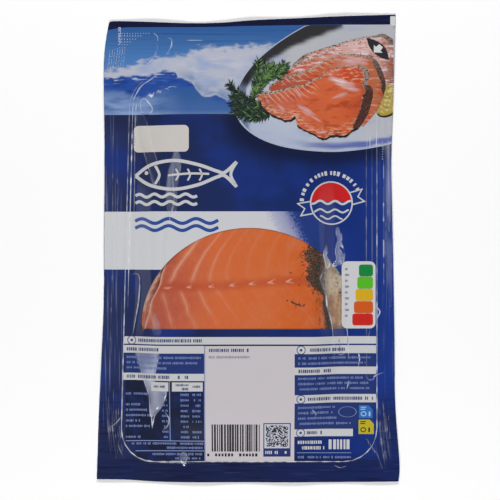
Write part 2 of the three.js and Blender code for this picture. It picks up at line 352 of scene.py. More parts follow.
RELIEFS: tuple[Any, ...] = (
    # The upper slice's left edge, first under the clear film, then under the print.
    Fold(((-53.9, -46), (-53.5, -41.5), (-51.2, -33.6), (-49.5, -26.2), (-46.7, -21.1), (-45.4, -18.4),
        (-44.3, -13.3), (-42.7, -8.5), (-41.8, -2)), 0.45, 1.3, 0.14, 0.5, 9),
    Fold(((-42.4, -6), (-41.5, 2), (-40, 15), (-37.8, 24.8), (-38.5, 35), (-38, 44), (-36, 52)), 0.9, 2.2, 0.3,
        0, 13),
    Pucker(((-41.6, 36), (-40.4, 41), (-37.3, 49.8), (-34.6, 46), (-34.8, 40), (-36.4, 31), (-37, 19),
        (-40.4, 18), (-42, 26)), 0.2, 1.6, 0.42, 0.24),
    Pucker(((-48.2, -32), (-46.4, -36), (-44.6, -43), (-48.6, -43)), 0.2, 1.2, 0.2, 0.1),
    # Corner of the pocket at the upper left, the leaf-shaped lift beside it and its curls.
    Fold(((-60.3, 74.8), (-57.8, 79.3), (-55, 83.5), (-50.4, 86.8), (-46.3, 89.9)), 0.45, 0.75, 0.6),
    Fold(((-57.8, 89.9), (-53, 94), (-48.6, 98.6), (-47.6, 104.5)), 0.2, 0.5, 0.3, 0.6),
    Pucker(((-55.4, 76), (-53.4, 77.2), (-51.4, 75), (-49.5, 72.2), (-50.2, 69.8), (-53.6, 69.6),
        (-55.3, 71.6)), 0.35, 0.9, 0.16, 0.75),
    Pucker(((-57.2, 66), (-56.8, 69.4), (-55.2, 70.2), (-53, 66.4), (-51.6, 62.4), (-50.4, 56.6), (-48.4, 50),
        (-46.6, 44), (-45.4, 33), (-48, 32), (-52.6, 46), (-55.6, 56)), 0.35, 1.2, 0.14, 0.26),
    Fold(((-52.6, 77.6), (-50.8, 79.4), (-49.8, 77.8), (-48.6, 80.4)), 0.3, 0.5, 0.8),
    Fold(((-47.6, 79.4), (-45.8, 81.4), (-43, 82), (-40, 83.2), (-37, 83)), 0.25, 0.5, 0.7, 0.9),
    # The hook beside the window, the funnel below it and the arcs round the funnel's tip; the funnel's pale
    # field is painted glare.
    Fold(((-60.2, -13.6), (-57.6, -12.8), (-55.8, -15.6), (-56.3, -26.4), (-58.1, -36.6), (-59.6, -44.8)), 0.3,
        0.5, 0.5),
    Pucker(((-58.3, -50.5), (-57.9, -53.7), (-55, -63.3), (-53, -69.2), (-50.9, -76), (-50.2, -86),
        (-47.6, -84), (-45.4, -82.2), (-43.2, -78), (-41.9, -73.1), (-42.2, -69.5), (-48.9, -67.7),
        (-47.6, -63.3), (-45.7, -53.7), (-45.4, -50.5)), 0.7, 2.6, 0.86, 0.75),
    Fold(((-50.2, -84), (-49.6, -88), (-49.4, -92.5)), 0.3, 0.5, 0.8),
    Fold(((-49.3, -91.2), (-48.1, -85.8), (-45.8, -83)), 0.3, 0.5, 0.9),
    Fold(((-43, -83.5), (-40.7, -86.8), (-41.6, -91.2), (-44, -92.9)), 0.3, 0.5, 0.8),
    Pucker(((-35.2, -106.6), (-33.4, -104.9), (-31.6, -106.4), (-32, -109), (-33, -111.6), (-34.4, -109.6)),
        0.4, 0.8, 0.5, 0.8),
    # The lifted and crumpled film on the right, where it leaves the fish for the pocket's floor; its pale
    # flames are painted glare.
    Pucker(((39.7, -7.5), (37.6, -12.6), (36.7, -15), (37.9, -19), (39.6, -24), (40, -29), (41.6, -33.5),
        (42.8, -39), (43.5, -46), (44.5, -52), (47.6, -54.6), (51.2, -51.6), (51, -45), (50.2, -35), (50, -18),
        (48.2, -7.5), (44.4, -6.5)), 0.3, 1.2, 0.15, 0.4, 0.32),
    Pucker(((45, 9.6), (45.8, 11), (46.6, 8.6), (46.5, 6.4), (47.5, 7.6), (47.9, 4.9), (47.4, 3.4), (48.8, 0.2),
        (46.8, 2), (46.5, 0), (47.9, -2.2), (46.8, -5), (47.9, -7.6), (43.2, -9), (45.2, -5.6), (44.7, -2),
        (45.1, 1.4), (46.1, 4.9), (45.2, 7)), 0.4, 0.9, 0.6, 0.85, 0.3),
    Pucker(((39.8, 1), (40.2, -2), (39.8, -3.6), (41.6, -7.6), (40.2, -10), (39, -6), (38.4, -2)), 0.4, 0.8,
        0.6, 0.85, 0.2),
    Pucker(((49.4, -2.4), (49.1, -5.4), (48.6, -8), (46.8, -6.4), (48.3, -3.4)), 0.4, 0.8, 0.6, 0.85, 0.2),
    Fold(((38.7, -12.4), (36.9, -14.6), (37.6, -18.2), (39.3, -21), (39.9, -26), (40.4, -30), (42.6, -38.2),
        (43.5, -46), (44.2, -56.5)), 0.35, 0.6, 0.62, 0.75),
    Fold(((50.4, -38.2), (51, -45.5), (51.6, -57)), 0.35, 0.6, 0.7),
    Fold(((62.6, -41), (61.4, -48), (61.8, -54)), 0.3, 0.6, 0.5, 0.4),
    Fold(((56.1, -52.5), (57.1, -56.6), (56.4, -61)), 0.35, 0.6, 0.8, 0.3),
    Fold(((51.8, -67.6), (50.7, -71.9)), 0.35, 0.6, 0.9),
    Fold(((60.4, -65.3), (61.7, -67.3), (63.7, -67.3), (65.3, -65.3), (69.4, -63.7)), 0.25, 0.45, 0.7),
    Fold(((65.3, -29.4), (67.4, -32), (67.2, -33.6), (65.6, -36.6)), 0.3, 0.6, 0.7),
    Fold(((32, -82), (34.6, -85.2), (33, -88.4)), 0.2, 0.5, 0.5, 0.3),
    # Seal marks in the wide upper flange.
    Fold(((-48.9, 110.9), (-46.9, 109), (-46.7, 106.4)), 0.25, 0.5, 0.9, 0.5),
    Fold(((-47.4, 106), (-46.9, 102.5), (-49, 97.5)), 0.2, 0.45, 0.45, 0.4),
    Fold(((-41.8, 108.4), (-39.6, 107.6), (-40, 103.6), (-42.6, 99.4)), 0.25, 0.5, 0.75, 0.3),
    Fold(((-45, 107.3), (-9.5, 107.3), (15.5, 107.5)), -0.14, 0.4, 0),
    Fold(((-44, 109.8), (-9.5, 109.9), (19.5, 110.2)), -0.1, 0.5, 0),
    Fold(((-26.4, 88.8), (-14, 88.9), (-1.8, 88.8)), -0.12, 0.35, 0),
    # Draw lines along the side flanges, and two pale bands of painted sheen on the right flange.
    Fold(((-58.6, 72), (-58.5, 40), (-58.8, 12)), 0.18, 0.45, 0.35),
    Fold(((-69.9, 68.4), (-69.9, -0.8), (-70.9, -41.7), (-71.9, -77.6)), 0.16, 0.5, 0.15, 0.4),
    Fold(((-67.6, 60.4), (-67.4, 12), (-67.8, -20.7)), 0.12, 0.45, 0.12, 0.4),
    Fold(((60.6, 62.6), (60.6, -5.9), (60.8, -70)), 0.2, 0.5, 0.2),
    Fold(((63.4, 62.6), (63.6, -5.9), (63.8, -40)), 0.16, 0.4, 0.12),
    Fold(((69.6, 56.4), (69.4, 20), (69.6, -26.4)), 0.2, 0.5, 0.45, 0.75),
    Pucker(((70.4, 58.6), (73.3, 55.6), (73.2, 40), (73, 24), (72.4, 8), (71.6, 20), (70.8, 34)), 0.1, 1, 0.6,
        0.12, 0.12),
    Pucker(((69.4, 54), (70.6, 40), (71.6, 16), (73.6, -2), (73.2, -30), (71.4, -16), (69.8, 6)), 0.06, 1, 0.3,
        0.1, 0.12),
    # Creases of the lower corners, and the small curls beside the pocket's upper corner.
    *(Fold(((66.8 + 0.8 * i, -78 - 4 * (i % 3)), (67.4 + 0.85 * i, -94 - 2 * (i % 2)), (68.8 + 0.8 * i,
        -106 - 1.5 * (i % 4))), 0.2, 0.45, 0.12 + 0.06 * (i % 3), 0.6) for i in range(7)),
    *(Fold(((60.2 + 0.9 * i, -97.6 - 1.5 * i), (61.6 + 0.9 * i, -99 - 1.3 * i), (61.9 + i, -101.6 - 1.1 * i)),
        0.25, 0.45, 0.26, 0.45) for i in range(5)),
    *(Fold(((-73.4 + 1.3 * i, -70 - 5 * (i % 3)), (-72.6 + 1.2 * i, -90), (-71 + 1.3 * i, -103 - 3 * (i % 2))),
        0.14, 0.45, 0.13 + 0.05 * (i % 2), 0.6) for i in range(6)),
    Fold(((-51.1, 77.6), (-50.4, 79.4), (-49.4, 78.2), (-48.9, 79.2)), 0.2, 0.4, 0.7),
    Fold(((-47.3, 79.6), (-46.4, 81.2), (-45.5, 80), (-44.7, 81.6)), 0.2, 0.4, 0.7),
    Fold(((-43.6, 81.2), (-42.4, 82.3), (-40.8, 81.6)), 0.2, 0.4, 0.55, 0.3),
    Fold(((-71, -92), (-67.8, -89.4), (-65.6, -86.6)), 0.25, 0.5, 0.45),
    Fold(((68.9, -77.6), (70.4, -92.9), (73, -109.3)), 0.35, 0.6, 0.2, 0.4),
    Fold(((67.3, -87.8), (68.4, -100.6), (70.4, -112.4)), 0.3, 0.5, 0.2, 0.4),
    Fold(((64.8, -98), (66.3, -105.7), (68.9, -113.4)), 0.3, 0.5, 0.2, 0.4),
    Fold(((44, -111.2), (47, -112.6), (50.4, -111.8)), 0.25, 0.5, 0.5, 0.4),
    Fold(((-73, -77.6), (-71.9, -92.9), (-70.9, -105.7)), 0.3, 0.6, 0.2, 0.3),
    Fold(((-69.4, -80.1), (-69.9, -92.9), (-67.8, -108.3)), 0.3, 0.5, 0.2, 0.3),
    Fold(((-65.3, -96), (-66.9, -101), (-63.8, -108.2)), 0.2, 0.5, 0.2, 0.4),
)


@dataclass(frozen=True)
class PackForm:
    """The surfaces of the two films: a formed pocket on the floor, a flange, and the raised fish."""

    pocket_centre: Point = (1.5, -10.0)
    pocket_half: Point = (64.5, 99.5)
    pocket_corner: float = 17.0
    pocket_wall: float = 4.5
    flange_height: float = 1.2
    flange_droop: float = 0.6
    flange_reach: float = 12.0
    ripple: float = 0.32
    ripple_pitch: float = 47.0
    fish_centre: Point = (-6.75, -10.5)
    fish_half: Point = (49.25, 88.0)
    fish_rounding: float = 0.3
    crown_height: float = 7.0
    slope_start: float = 0.78
    slope_end: float = 1.14
    swell: float = 0.35
    base_wall: float = 0.12
    seal: float = 0.22
    trough: float = 0.3
    bead_height: float = 0.4
    bead_width: float = 0.6
    bead_lean: float = 0.025

    def outside_pocket(self, x: Array, y: Array) -> Array:
        """Distance outside the pocket's outline, negative inside it."""
        dx = np.abs(x - self.pocket_centre[0]) - self.pocket_half[0] + self.pocket_corner
        dy = np.abs(y - self.pocket_centre[1]) - self.pocket_half[1] + self.pocket_corner
        beyond = np.hypot(np.maximum(dx, 0), np.maximum(dy, 0))
        return beyond + np.minimum(np.maximum(dx, dy), 0) - self.pocket_corner

    def base_under(self, x: Array, y: Array) -> Array:
        """Underside of the base film: on the floor, up the pocket's wall, then the flange."""
        out = self.outside_pocket(x, y)
        free = np.clip(out / self.flange_reach, 0, 1)
        ripple = self.ripple * free * np.sin(2 * np.pi * (x - 0.7 * y) / self.ripple_pitch)
        flange = self.flange_height - self.flange_droop * free * free + ripple
        return ease(-self.pocket_wall, 0, out) * flange

    def fish_share(self, x: Array, y: Array) -> Array:
        """How far out a point lies over the fish: 0 in the middle, 1 on its edge."""
        s = np.abs(x - self.fish_centre[0]) / self.fish_half[0]
        t = np.abs(y - self.fish_centre[1]) / self.fish_half[1]
        return (s**4 + t**4) ** 0.25

    def bead(self, x: Array, y: Array) -> Array:
        """The rounded lip, from 0 to 1, that the pocket's rim raises in the top film."""
        on_left = ease(0.0, 40.0, self.pocket_centre[0] - x)
        out = self.outside_pocket(x - self.bead_lean * y * on_left, y)
        width = self.bead_width * (1 + 0.6 * on_left * ease(15.0, 70.0, y))
        strength = 0.75 + 0.25 * on_left
        strength = strength * (1 - 0.85 * ease(79.0, 87.0, y) * ease(-54.0, -45.0, x))
        return strength * np.exp(-((out / width) ** 2))

    def film_top(self, x: Array, y: Array, folds: bool = True) -> Array:
        """Upper surface of the top film.

        Args:
            x: their x.
            y: their y.
            folds: whether the creases count.
        Returns:
            the height above the floor in mm.
        """
        out = self.outside_pocket(x, y)
        dip = self.trough * (1 - np.exp(-((np.minimum(out, 0) / 3.0) ** 2)))
        level = np.where(out > 0, self.base_under(x, y), self.flange_height - dip) + self.seal
        cover = 1 - ease(self.slope_start, self.slope_end, self.fish_share(x, y))
        height = level + (self.crown_height + 0.2 - level) * cover
        height = height + self.swell * cover * np.sin(x / 13 + 0.8) * np.cos(y / 21 - 0.4)
        if not folds:
            return height
        height = height + self.bead_height * self.bead(x, y) + 0.05 * wander(x, y, (5.0, 12.0), 2)
        for relief in RELIEFS:
            height = height + relief.measure(x, y)[0]
        return height

    def whitening(self, x: Array, y: Array) -> Array:
        """Pale share from 0 to 1: film turned white by stress, with painted highlights along the creases and
        the bead and painted glare over lifted film.
        """
        pale = 0.12 * self.bead(x, y)
        for relief in RELIEFS:
            pale = np.maximum(pale, relief.measure(x, y)[1])
        return np.clip(pale, 0, 1)

    def fish_point(self, s: Array, t: Array) -> tuple[Array, Array]:
        """A point of the fish's plan from its square of -1 to 1 each way."""
        x = self.fish_centre[0] + self.fish_half[0] * s * np.sqrt(1 - self.fish_rounding * t * t)
        y = self.fish_centre[1] + self.fish_half[1] * t * np.sqrt(1 - self.fish_rounding * s * s)
        return x, y


FORM = PackForm()


@dataclass
class Flat:
    """A flat patch of points with its faces, all turned anticlockwise seen from above."""

    points: Array
    faces: Array


def joined(patches: list[Flat]) -> Flat:
    """Several patches of the same kind of face as one."""
    starts = np.cumsum([0] + [len(patch.points) for patch in patches])
    faces = [patch.faces + start for patch, start in zip(patches, starts)]
    return Flat(np.vstack([patch.points for patch in patches]), np.vstack(faces))


def tile(x0: float, y0: float, x1: float, y1: float, step: float = 0.75) -> Flat:
    """A rectangle in squares no larger than step."""
    columns, rows = max(1, math.ceil((x1 - x0) / step)), max(1, math.ceil((y1 - y0) / step))
    xs, ys = np.meshgrid(np.linspace(x0, x1, columns + 1), np.linspace(y0, y1, rows + 1))
    index = np.arange((columns + 1) * (rows + 1)).reshape(rows + 1, columns + 1)
    corners = [index[:-1, :-1], index[:-1, 1:], index[1:, 1:], index[1:, :-1]]
    return Flat(stacked(xs.ravel(), ys.ravel()), stacked(*[corner.ravel() for corner in corners]))


def triangulated(points: Array, loops: list[Array], holes: list[Array]) -> Flat:
    """Fills an outline with triangles over loose points.

    Args:
        points: the loose points inside it.
        loops: the outline that is filled, then every other line that the triangles must follow.
        holes: outlines left open.
    Returns:
        the filled patch.
    """
    parts, edges, count = [points], [], len(points)
    for loop in loops:
        ring = np.arange(count, count + len(loop))
        edges += list(zip(ring.tolist(), np.roll(ring, -1).tolist()))
        parts.append(loop)
        count += len(loop)
    result = delaunay_2d_cdt([Vector(p) for p in np.vstack(parts).tolist()], edges, [], 0, 1e-5, False)
    spots = np.array([(v.x, v.y) for v in result[0]])
    faces = np.array([f for f in result[2] if len(f) == 3])
    middle = spots[faces].mean(axis=1)
    wanted = inside(loops[0], *middle.T)
    for hole in holes:
        wanted &= ~inside(hole, *middle.T)
    faces = faces[wanted]
    a, b, c = spots[faces[:, 0]], spots[faces[:, 1]], spots[faces[:, 2]]
    turn = (b[:, 0] - a[:, 0]) * (c[:, 1] - a[:, 1]) - (b[:, 1] - a[:, 1]) * (c[:, 0] - a[:, 0])
    faces[turn < 0] = faces[turn < 0][:, ::-1]
    used, renamed = np.unique(faces[np.abs(turn) > 1e-7], return_inverse=True)
    return Flat(spots[used], renamed.reshape(-1, 3))


@dataclass
class Web:
    """The cut outline that the two films share, and the lattice of points that they are meshed on."""

    bottom_edge: Line = ((-78.1, -118.7), (-63.7, -118.9), (-44, -120.1), (-14, -120.3), (30, -120.3),
        (50, -120.2), (77.2, -119.9))
    top_edge: Line = ((-72, 115.9), (-67.4, 117.1), (-35, 116.1), (-14, 116.3), (6, 117.7), (44, 119.4),
        (75.8, 120.5))
    left_edge: Line = ((-78.1, -118.7), (-77.1, -85), (-75.9, -60), (-74.7, -30), (-74.3, 10), (-74.2, 60),
        (-74.4, 97), (-72, 115.9))
    right_edge: Line = ((77.2, -119.9), (77.7, -111), (76, -88), (75.3, -72), (75.2, -58), (74.5, -5),
        (73.6, 32), (73.6, 50), (74.6, 80), (75.8, 120.5))
    length: float = 239.0
    width: float = 150.0
    fine: float = 0.6
    coarse: float = 1.5
    margin: float = 0.2
    fine_across: Line = ((0.02, 0.28), (0.72, 0.975))
    fine_along: Line = ((0.022, 0.066), (0.80, 0.885))
    edges: list[Array] = field(init=False)
    lattice: Array = field(init=False)
    outline: Array = field(init=False)

    def __post_init__(self) -> None:
        """Works out the edges, the outline and the lattice."""
        self.edges = [spline(e, 400) for e in (self.bottom_edge, self.top_edge, self.left_edge,
            self.right_edge)]
        across = self.graded(self.width, self.fine_across)
        along = self.graded(self.length, self.fine_along)
        u, v = np.meshgrid(across[1:-1], along[1:-1])
        self.lattice = stacked(*self.point(u.ravel(), v.ravel()))
        zeros, ones = np.zeros(len(along) - 1), np.ones(len(along) - 1)
        low, high = np.zeros(len(across) - 1), np.ones(len(across) - 1)
        nick = 0.16 * np.abs(wander(along, along, (0.011, 0.013), 17))[:, None] * [1.0, 0.0]
        left = stacked(*self.point(zeros, along[:0:-1])) + nick[:0:-1]
        self.outline = np.vstack([stacked(*self.point(across[:-1], low)),
            stacked(*self.point(ones, along[:-1])), stacked(*self.point(across[:0:-1], high)), left])

    def graded(self, length: float, zones: Line) -> Array:
        """Line places from 0 to 1, close together in the zones and wider apart elsewhere."""
        places = [0.0]
        while places[-1] < 1.0:
            near = any(low <= places[-1] <= high for low, high in zones)
            places.append(places[-1] + (self.fine if near else self.coarse) / length)
        return np.array(places) / places[-1]

    def point(self, u: Array, v: Array) -> tuple[Array, Array]:
        """A place of the sheet, blended between its four cut edges."""
        bottom, top, left, right = self.edges
        grid = np.linspace(0.0, 1.0, len(bottom))
        result = []
        for axis in (0, 1):
            low, high = np.interp(u, grid, bottom[:, axis]), np.interp(u, grid, top[:, axis])
            near, far = np.interp(v, grid, left[:, axis]), np.interp(v, grid, right[:, axis])
            corners = (bottom[0, axis] * (1 - u) + bottom[-1, axis] * u) * (1 - v)
            corners = corners + (top[0, axis] * (1 - u) + top[-1, axis] * u) * v
            result.append(low * (1 - v) + high * v + near * (1 - u) + far * u - corners)
        return result[0], result[1]

    def cut(self, outline: Array, holes: list[Array] | None = None, step: float = 0.6,
            lattice: Array | None = None) -> Flat:
        """A patch of the web inside an outline, meshed on the web's own lattice or a given one.

        Args:
            outline: the patch's outline.
            holes: outlines left open.
            step: spacing of the points along the outlines.
            lattice: loose points to use in place of the web's own.
        Returns:
            the patch.
        """
        loops = [closed_evenly(loop, step) for loop in [outline] + (holes or [])]
        points = self.lattice if lattice is None else lattice
        loose = points[in_box(loops[0], *points.T)]
        kept = depth_in(loops[0], *loose.T) > self.margin
        for gap in loops[1:]:
            kept &= depth_in(gap, *loose.T) < -self.margin
        return triangulated(loose[kept], loops, loops[1:])


WEB = Web()


# ---- Finishes ----
@dataclass(frozen=True)
class Layer:
    """A second colour, laid where a stored value or a grain lies between two edges.

    With both, the grain shifts the stored value by up to half of shift either way. With a period, the
    value runs to and fro. A gate is a stored value that the mask is multiplied by.
    """

    colour: str
    edges: Point
    share: float = 1.0
    reads: str = ""
    grain: tuple[float, ...] = ()
    shift: float = 0.0
    period: float = 0.0
    gate: str = ""

    def mask(self, tree: Tree, place: Socket) -> Socket:
        """Builds the mask.

        Args:
            tree: the tree.
            place: the position on the piece in mm.
        Returns:
            the layer's share at each point.
        """
        value = None
        if self.grain:
            cells = add(tree, "VectorMath", place, (*self.grain, 10.0)[:3], operation="DIVIDE")
            noise = add(tree, "TexNoise", Vector=cells, Scale=1.0, Detail=3.0)
            value = noise.outputs[0]
        if self.reads:
            stored = add(tree, "Attribute", attribute_name=self.reads).outputs["Fac"]
            if value is not None:
                centred = add(tree, "Math", value, 0.5, operation="SUBTRACT")
                stored = add(tree, "Math", centred, self.shift, stored, operation="MULTIPLY_ADD").outputs[0]
            value = stored
        if self.period:
            value = add(tree, "Math", value, self.period / 2, operation="PINGPONG").outputs[0]
        mask = add(tree, "MapRange", interpolation_type="SMOOTHSTEP", Value=value, From_Min=self.edges[0],
            From_Max=self.edges[1], To_Max=self.share).outputs[0]
        if self.gate:
            gate = add(tree, "Attribute", attribute_name=self.gate)
            mask = add(tree, "Math", mask, gate.outputs["Fac"], operation="MULTIPLY").outputs[0]
        return mask


@dataclass(frozen=True)
class Finish:
    """A surface of one colour or a run of colours along a line, with further colours in layers."""

    name: str
    base: Any
    start: Point = (0.0, 0.0)
    end: Point = (1.0, 0.0)
    layers: tuple[Layer, ...] = ()
    roughness: float = 0.13
    ior: float = 1.6
    relief: Point = (1.6, 0.008)
    subsurface: float = 0.0

    def build(self) -> Material:
        """Makes the material."""
        material, tree, place = blank_material(self.name)
        colour: Any = linear(self.base) if isinstance(self.base, str) else self.run(tree, place)
        for layer in self.layers:
            colour = add(tree, "Mix", data_type="RGBA", Factor=layer.mask(tree, place),
                at={6: colour, 7: linear(layer.colour)}).outputs[2]
        grain = add(tree, "TexNoise", Vector=place, Scale=1 / self.relief[0], Detail=2.0)
        bump = add(tree, "Bump", Height=grain, Distance=self.relief[1] * MM)
        surface = add(tree, "BsdfPrincipled", Base_Color=colour, Roughness=self.roughness, IOR=self.ior,
            Normal=bump)
        if self.subsurface:
            surface.inputs["Subsurface Weight"].default_value = self.subsurface
            surface.inputs["Subsurface Radius"].default_value = (1.0, 0.35, 0.18)
            surface.inputs["Subsurface Scale"].default_value = 1.5 * MM
        add(tree, "OutputMaterial", Surface=surface)
        return material

    def run(self, tree: Tree, place: Socket) -> Socket:
        """Builds the run of colours.

        Args:
            tree: the tree.
            place: the position on the piece in mm.
        Returns:
            the colour.
        """
        span = np.subtract(self.end, self.start)
        unit = span / float(span @ span)
        along = add(tree, "VectorMath", place, (*unit, 0.0), operation="DOT_PRODUCT")
        share = add(tree, "Math", along.outputs["Value"], float(np.dot(self.start, unit)), operation="SUBTRACT")
        ramp = add(tree, "ValToRGB", share)
        elements = ramp.color_ramp.elements
        while len(elements) < len(self.base):
            elements.new(0.5)
        for element, (position, code) in zip(elements, self.base):
            element.position, element.color = position, linear(code)
        return ramp.outputs[0]


def blank_material(name: str) -> tuple[Material, Tree, Socket]:
    """Starts a material.

    Args:
        name: the material's name.
    Returns:
        the material, its empty tree and the position on the piece in mm.
    """
    material = bpy.data.materials.new(name)
    material.use_nodes = True
    material.node_tree.nodes.clear()
    spot = add(material.node_tree, "TexCoord")
    place = add(material.node_tree, "VectorMath", spot.outputs["Object"], operation="SCALE", Scale=1 / MM)
    return material, material.node_tree, place.outputs[0]


@dataclass(frozen=True)
class ClearFilm:
    """Unprinted polyamide film: clear and glossy, and milky where it is creased or formed; where the pale share
    is set, the milky look is film turned white by stress with painted glare.
    """

    name: str = "polyamide_film_clear"
    haze: float = 0.006
    crease_haze_and_glare: float = 0.75
    tint: str = "d6d9e4"
    roughness: float = 0.1
    ior: float = 1.55

    def build(self) -> Material:
        """Makes the material."""
        material, tree, place = blank_material(self.name)
        grain = add(tree, "TexNoise", Vector=place, Scale=1 / 1.6, Detail=2.0)
        bump = add(tree, "Bump", Height=grain, Distance=0.008 * MM)
        side = add(tree, "NewGeometry")
        front = add(tree, "Math", 1.0, side.outputs["Backfacing"], operation="SUBTRACT")
        # The pale share makes the film milky: film turned white by stress, with painted highlights and glare on
        # creases and lifted patches.
        pale = add(tree, "Attribute", attribute_name="whitening")
        haze = add(tree, "Math", pale.outputs["Fac"], self.crease_haze_and_glare, self.haze, operation="MULTIPLY_ADD")
        milky = add(tree, "Math", haze, front, operation="MULTIPLY")
        clear = add(tree, "BsdfTransparent", Color=(1, 1, 1, 1))
        milk = add(tree, "BsdfDiffuse", Color=linear(self.tint))
        body = add(tree, "MixShader", milky, clear, milk)
        shine = add(tree, "BsdfAnisotropic", Roughness=self.roughness, Normal=bump)
        mirror = add(tree, "Fresnel", IOR=self.ior, Normal=bump)
        shiny = add(tree, "Math", mirror, front, operation="MULTIPLY")
        mixed = add(tree, "MixShader", shiny, body, shine)
        add(tree, "OutputMaterial", Surface=mixed)
        return material


# Reverse-printed inks behind glossy polyester film: smooth colour under a sharp, clear shine.
# Pale layer laid over inks: film turned white by stress, with painted glare where it is creased or lifted.
WHITENED_AND_GLARE = Layer("b9bfd6", (0, 1), 0.85, reads="whitening")
INK_WHITE = Finish("ink_soft_white", "c4c4c7")
INK_PANEL = Finish("ink_warm_white", "c5bfc4")
INK_NAVY = Finish("ink_navy", "24346c")
INK_BLUE = Finish("ink_royal_blue", "2e4c94")
INK_PALE = Finish("ink_pale_blue", "8391bd")
INK_GREY = Finish("ink_grey", "8f8b93")
INK_BLACK = Finish("ink_charcoal", "2b2a30")
INK_SMALL = Finish("ink_small_print", "6e7dae")
INK_HEAD = Finish("ink_head_navy", "3a4570")

# The web's navy ground: darker to the left and clouded. Its pale streaks along the flanges' draw lines are
# partly painted sheen. Towards the foot and down the lower side flanges it carries painted shade, dark streaks
# of painted wrinkle shade and pale streaks of painted glints. Its last layer is film turned white by stress
# with painted glare.
NAVY_WEB = Finish("ink_navy_web", ((0, "2a3460"), (0.1, "222c56"), (0.25, "1c2851"), (0.45, "192a5c"),
    (0.65, "132964"), (0.85, "112c76"), (1, "1a3684")), (-76, 0), (76, 0), (Layer("18358a", (0.5, 0.72), 0.55,
    grain=(30, 26)), Layer("151c3c", (0.5, 0.75), 0.6, grain=(17, 30), gate="low_left"), Layer("0f1632", (0, 1),
    0.85, reads="plate_shade"), Layer("717cab", (0.56, 0.74), 0.7, grain=(0.8, 40), gate="drawn"),
    Layer("141b3e", (0, 1), 0.7, reads="foot"), Layer("10163a", (0.5, 0.64), 0.75, grain=(24, 1.6),
    gate="foot"), Layer("36447c", (0.6, 0.7), 0.35, grain=(18, 0.9, 6), gate="foot"), WHITENED_AND_GLARE))

# Moist cured salmon: orange flesh that scatters light, with pale seams of fat between its flakes.
SALMON_FLESH = Finish("smoked_salmon_flesh", ((0, "a9503c"), (0.16, "ba5a42"), (0.4, "d56a38"), (0.7, "d4692d"),
    (0.86, "cf5f1c"), (1, "c25a16")), (-56, 0), (42, 0), (Layer("d27245", (0.42, 0.72), 0.5, grain=(12, 12)),
    Layer("b5503f", (0.5, 0.75), 0.45, grain=(9, 7), gate="left_part"), Layer("c2845f", (0.52, 0.72), 0.3,
    grain=(1.1, 2.8)), Layer("b23f24", (4.2, 0.2), 0.45, reads="midline_gap", grain=(7, 4), shift=4),
    Layer("e0977a", (2.6, 0.9), 0.3, reads="flake_run", grain=(9, 9), shift=3, period=10.2,
    gate="seam_strength"), Layer("d69c7e", (1, 0.15), 0.75, reads="flake_run", grain=(9, 9), shift=3,
    period=10.2, gate="seam_strength"), Layer("dfa78f", (0.2, 0.9), 0.8, reads="knot", grain=(1.6, 0.8),
    shift=0.9), Layer("dda78c", (0, 1), 0.85, reads="rim_pale_line")), roughness=0.34, ior=1.42, relief=(1.1, 0.03),
    subsurface=0.15)
# The lower slice's flesh is painted darker and browner than the upper slice's: painted shade, as it lies under
# the upper slice. Its pale end at the window's left tip is painted glare of the creased film over it.
SALMON_UNDER = Finish("smoked_salmon_under", "a9553f", layers=(Layer("ab5a38", (0.45, 0.65), 0.8, grain=(5, 6)),
    Layer("b98765", (0.55, 0.7), 0.6, grain=(3, 5)), Layer("c3a08c", (0.2, 0.8), 0.9, reads="pale_end",
    grain=(2, 2), shift=0.5)), roughness=0.4, ior=1.42, relief=(1.1, 0.03), subsurface=0.1)

# Chopped dill and crushed spice: matt, near black, with olive and brown bits.
DILL_LEAF = Finish("dill_leaf", "181b10", layers=(Layer("33371f", (0.45, 0.65), grain=(1.3, 1.3, 1.3)),),
    roughness=0.6)
SPICE_GRAIN = Finish("spice_grain", "2b1d16", layers=(Layer("77502f", (0.5, 0.65), grain=(0.9, 0.9, 0.9)),),
    roughness=0.7)

# Waxed food board: satin tan with a soft, slightly streaky fibre.
FOOD_BOARD = Finish("food_board_tan", "a06f3f", layers=(Layer("b9925f", (0.42, 0.62), grain=(2, 5)),
    Layer("c9bea6", (0.2, 0.9), 0.75, reads="pale_part", grain=(1.6, 5), shift=0.8), Layer("a5713f",
    (0.55, 0.75), 0.6, grain=(5, 9)), Layer("4a3a2c", (0.6, 0.68), 0.75, grain=(1.3, 2))), roughness=0.45,
    ior=1.45, relief=(1.5, 0.02))


@cache
def material_of(finish: Any) -> Material:
    """The material of a finish, made on first use."""
    return finish.build()


# ---- Making meshes ----
def new_object(name: str, corners: Array, faces: list[list[int]], crease: float = 50.0) -> Piece:
    """Makes a mesh object from corners in mm.

    Args:
        name: the piece's name.
        corners: rows of x, y and z in mm.
        faces: the faces' corner numbers.
        crease: edges sharper than this many degrees stay sharp.
    Returns:
        the object, linked to the scene.
    """
    mesh = bpy.data.meshes.new(name)
    mesh.from_pydata((corners * MM).tolist(), [], faces)
    mesh.update()
    mesh.shade_smooth()
    mesh.set_sharp_from_angle(angle=math.radians(crease))
    piece = bpy.data.objects.new(name, mesh)
    bpy.context.scene.collection.objects.link(piece)
    return piece


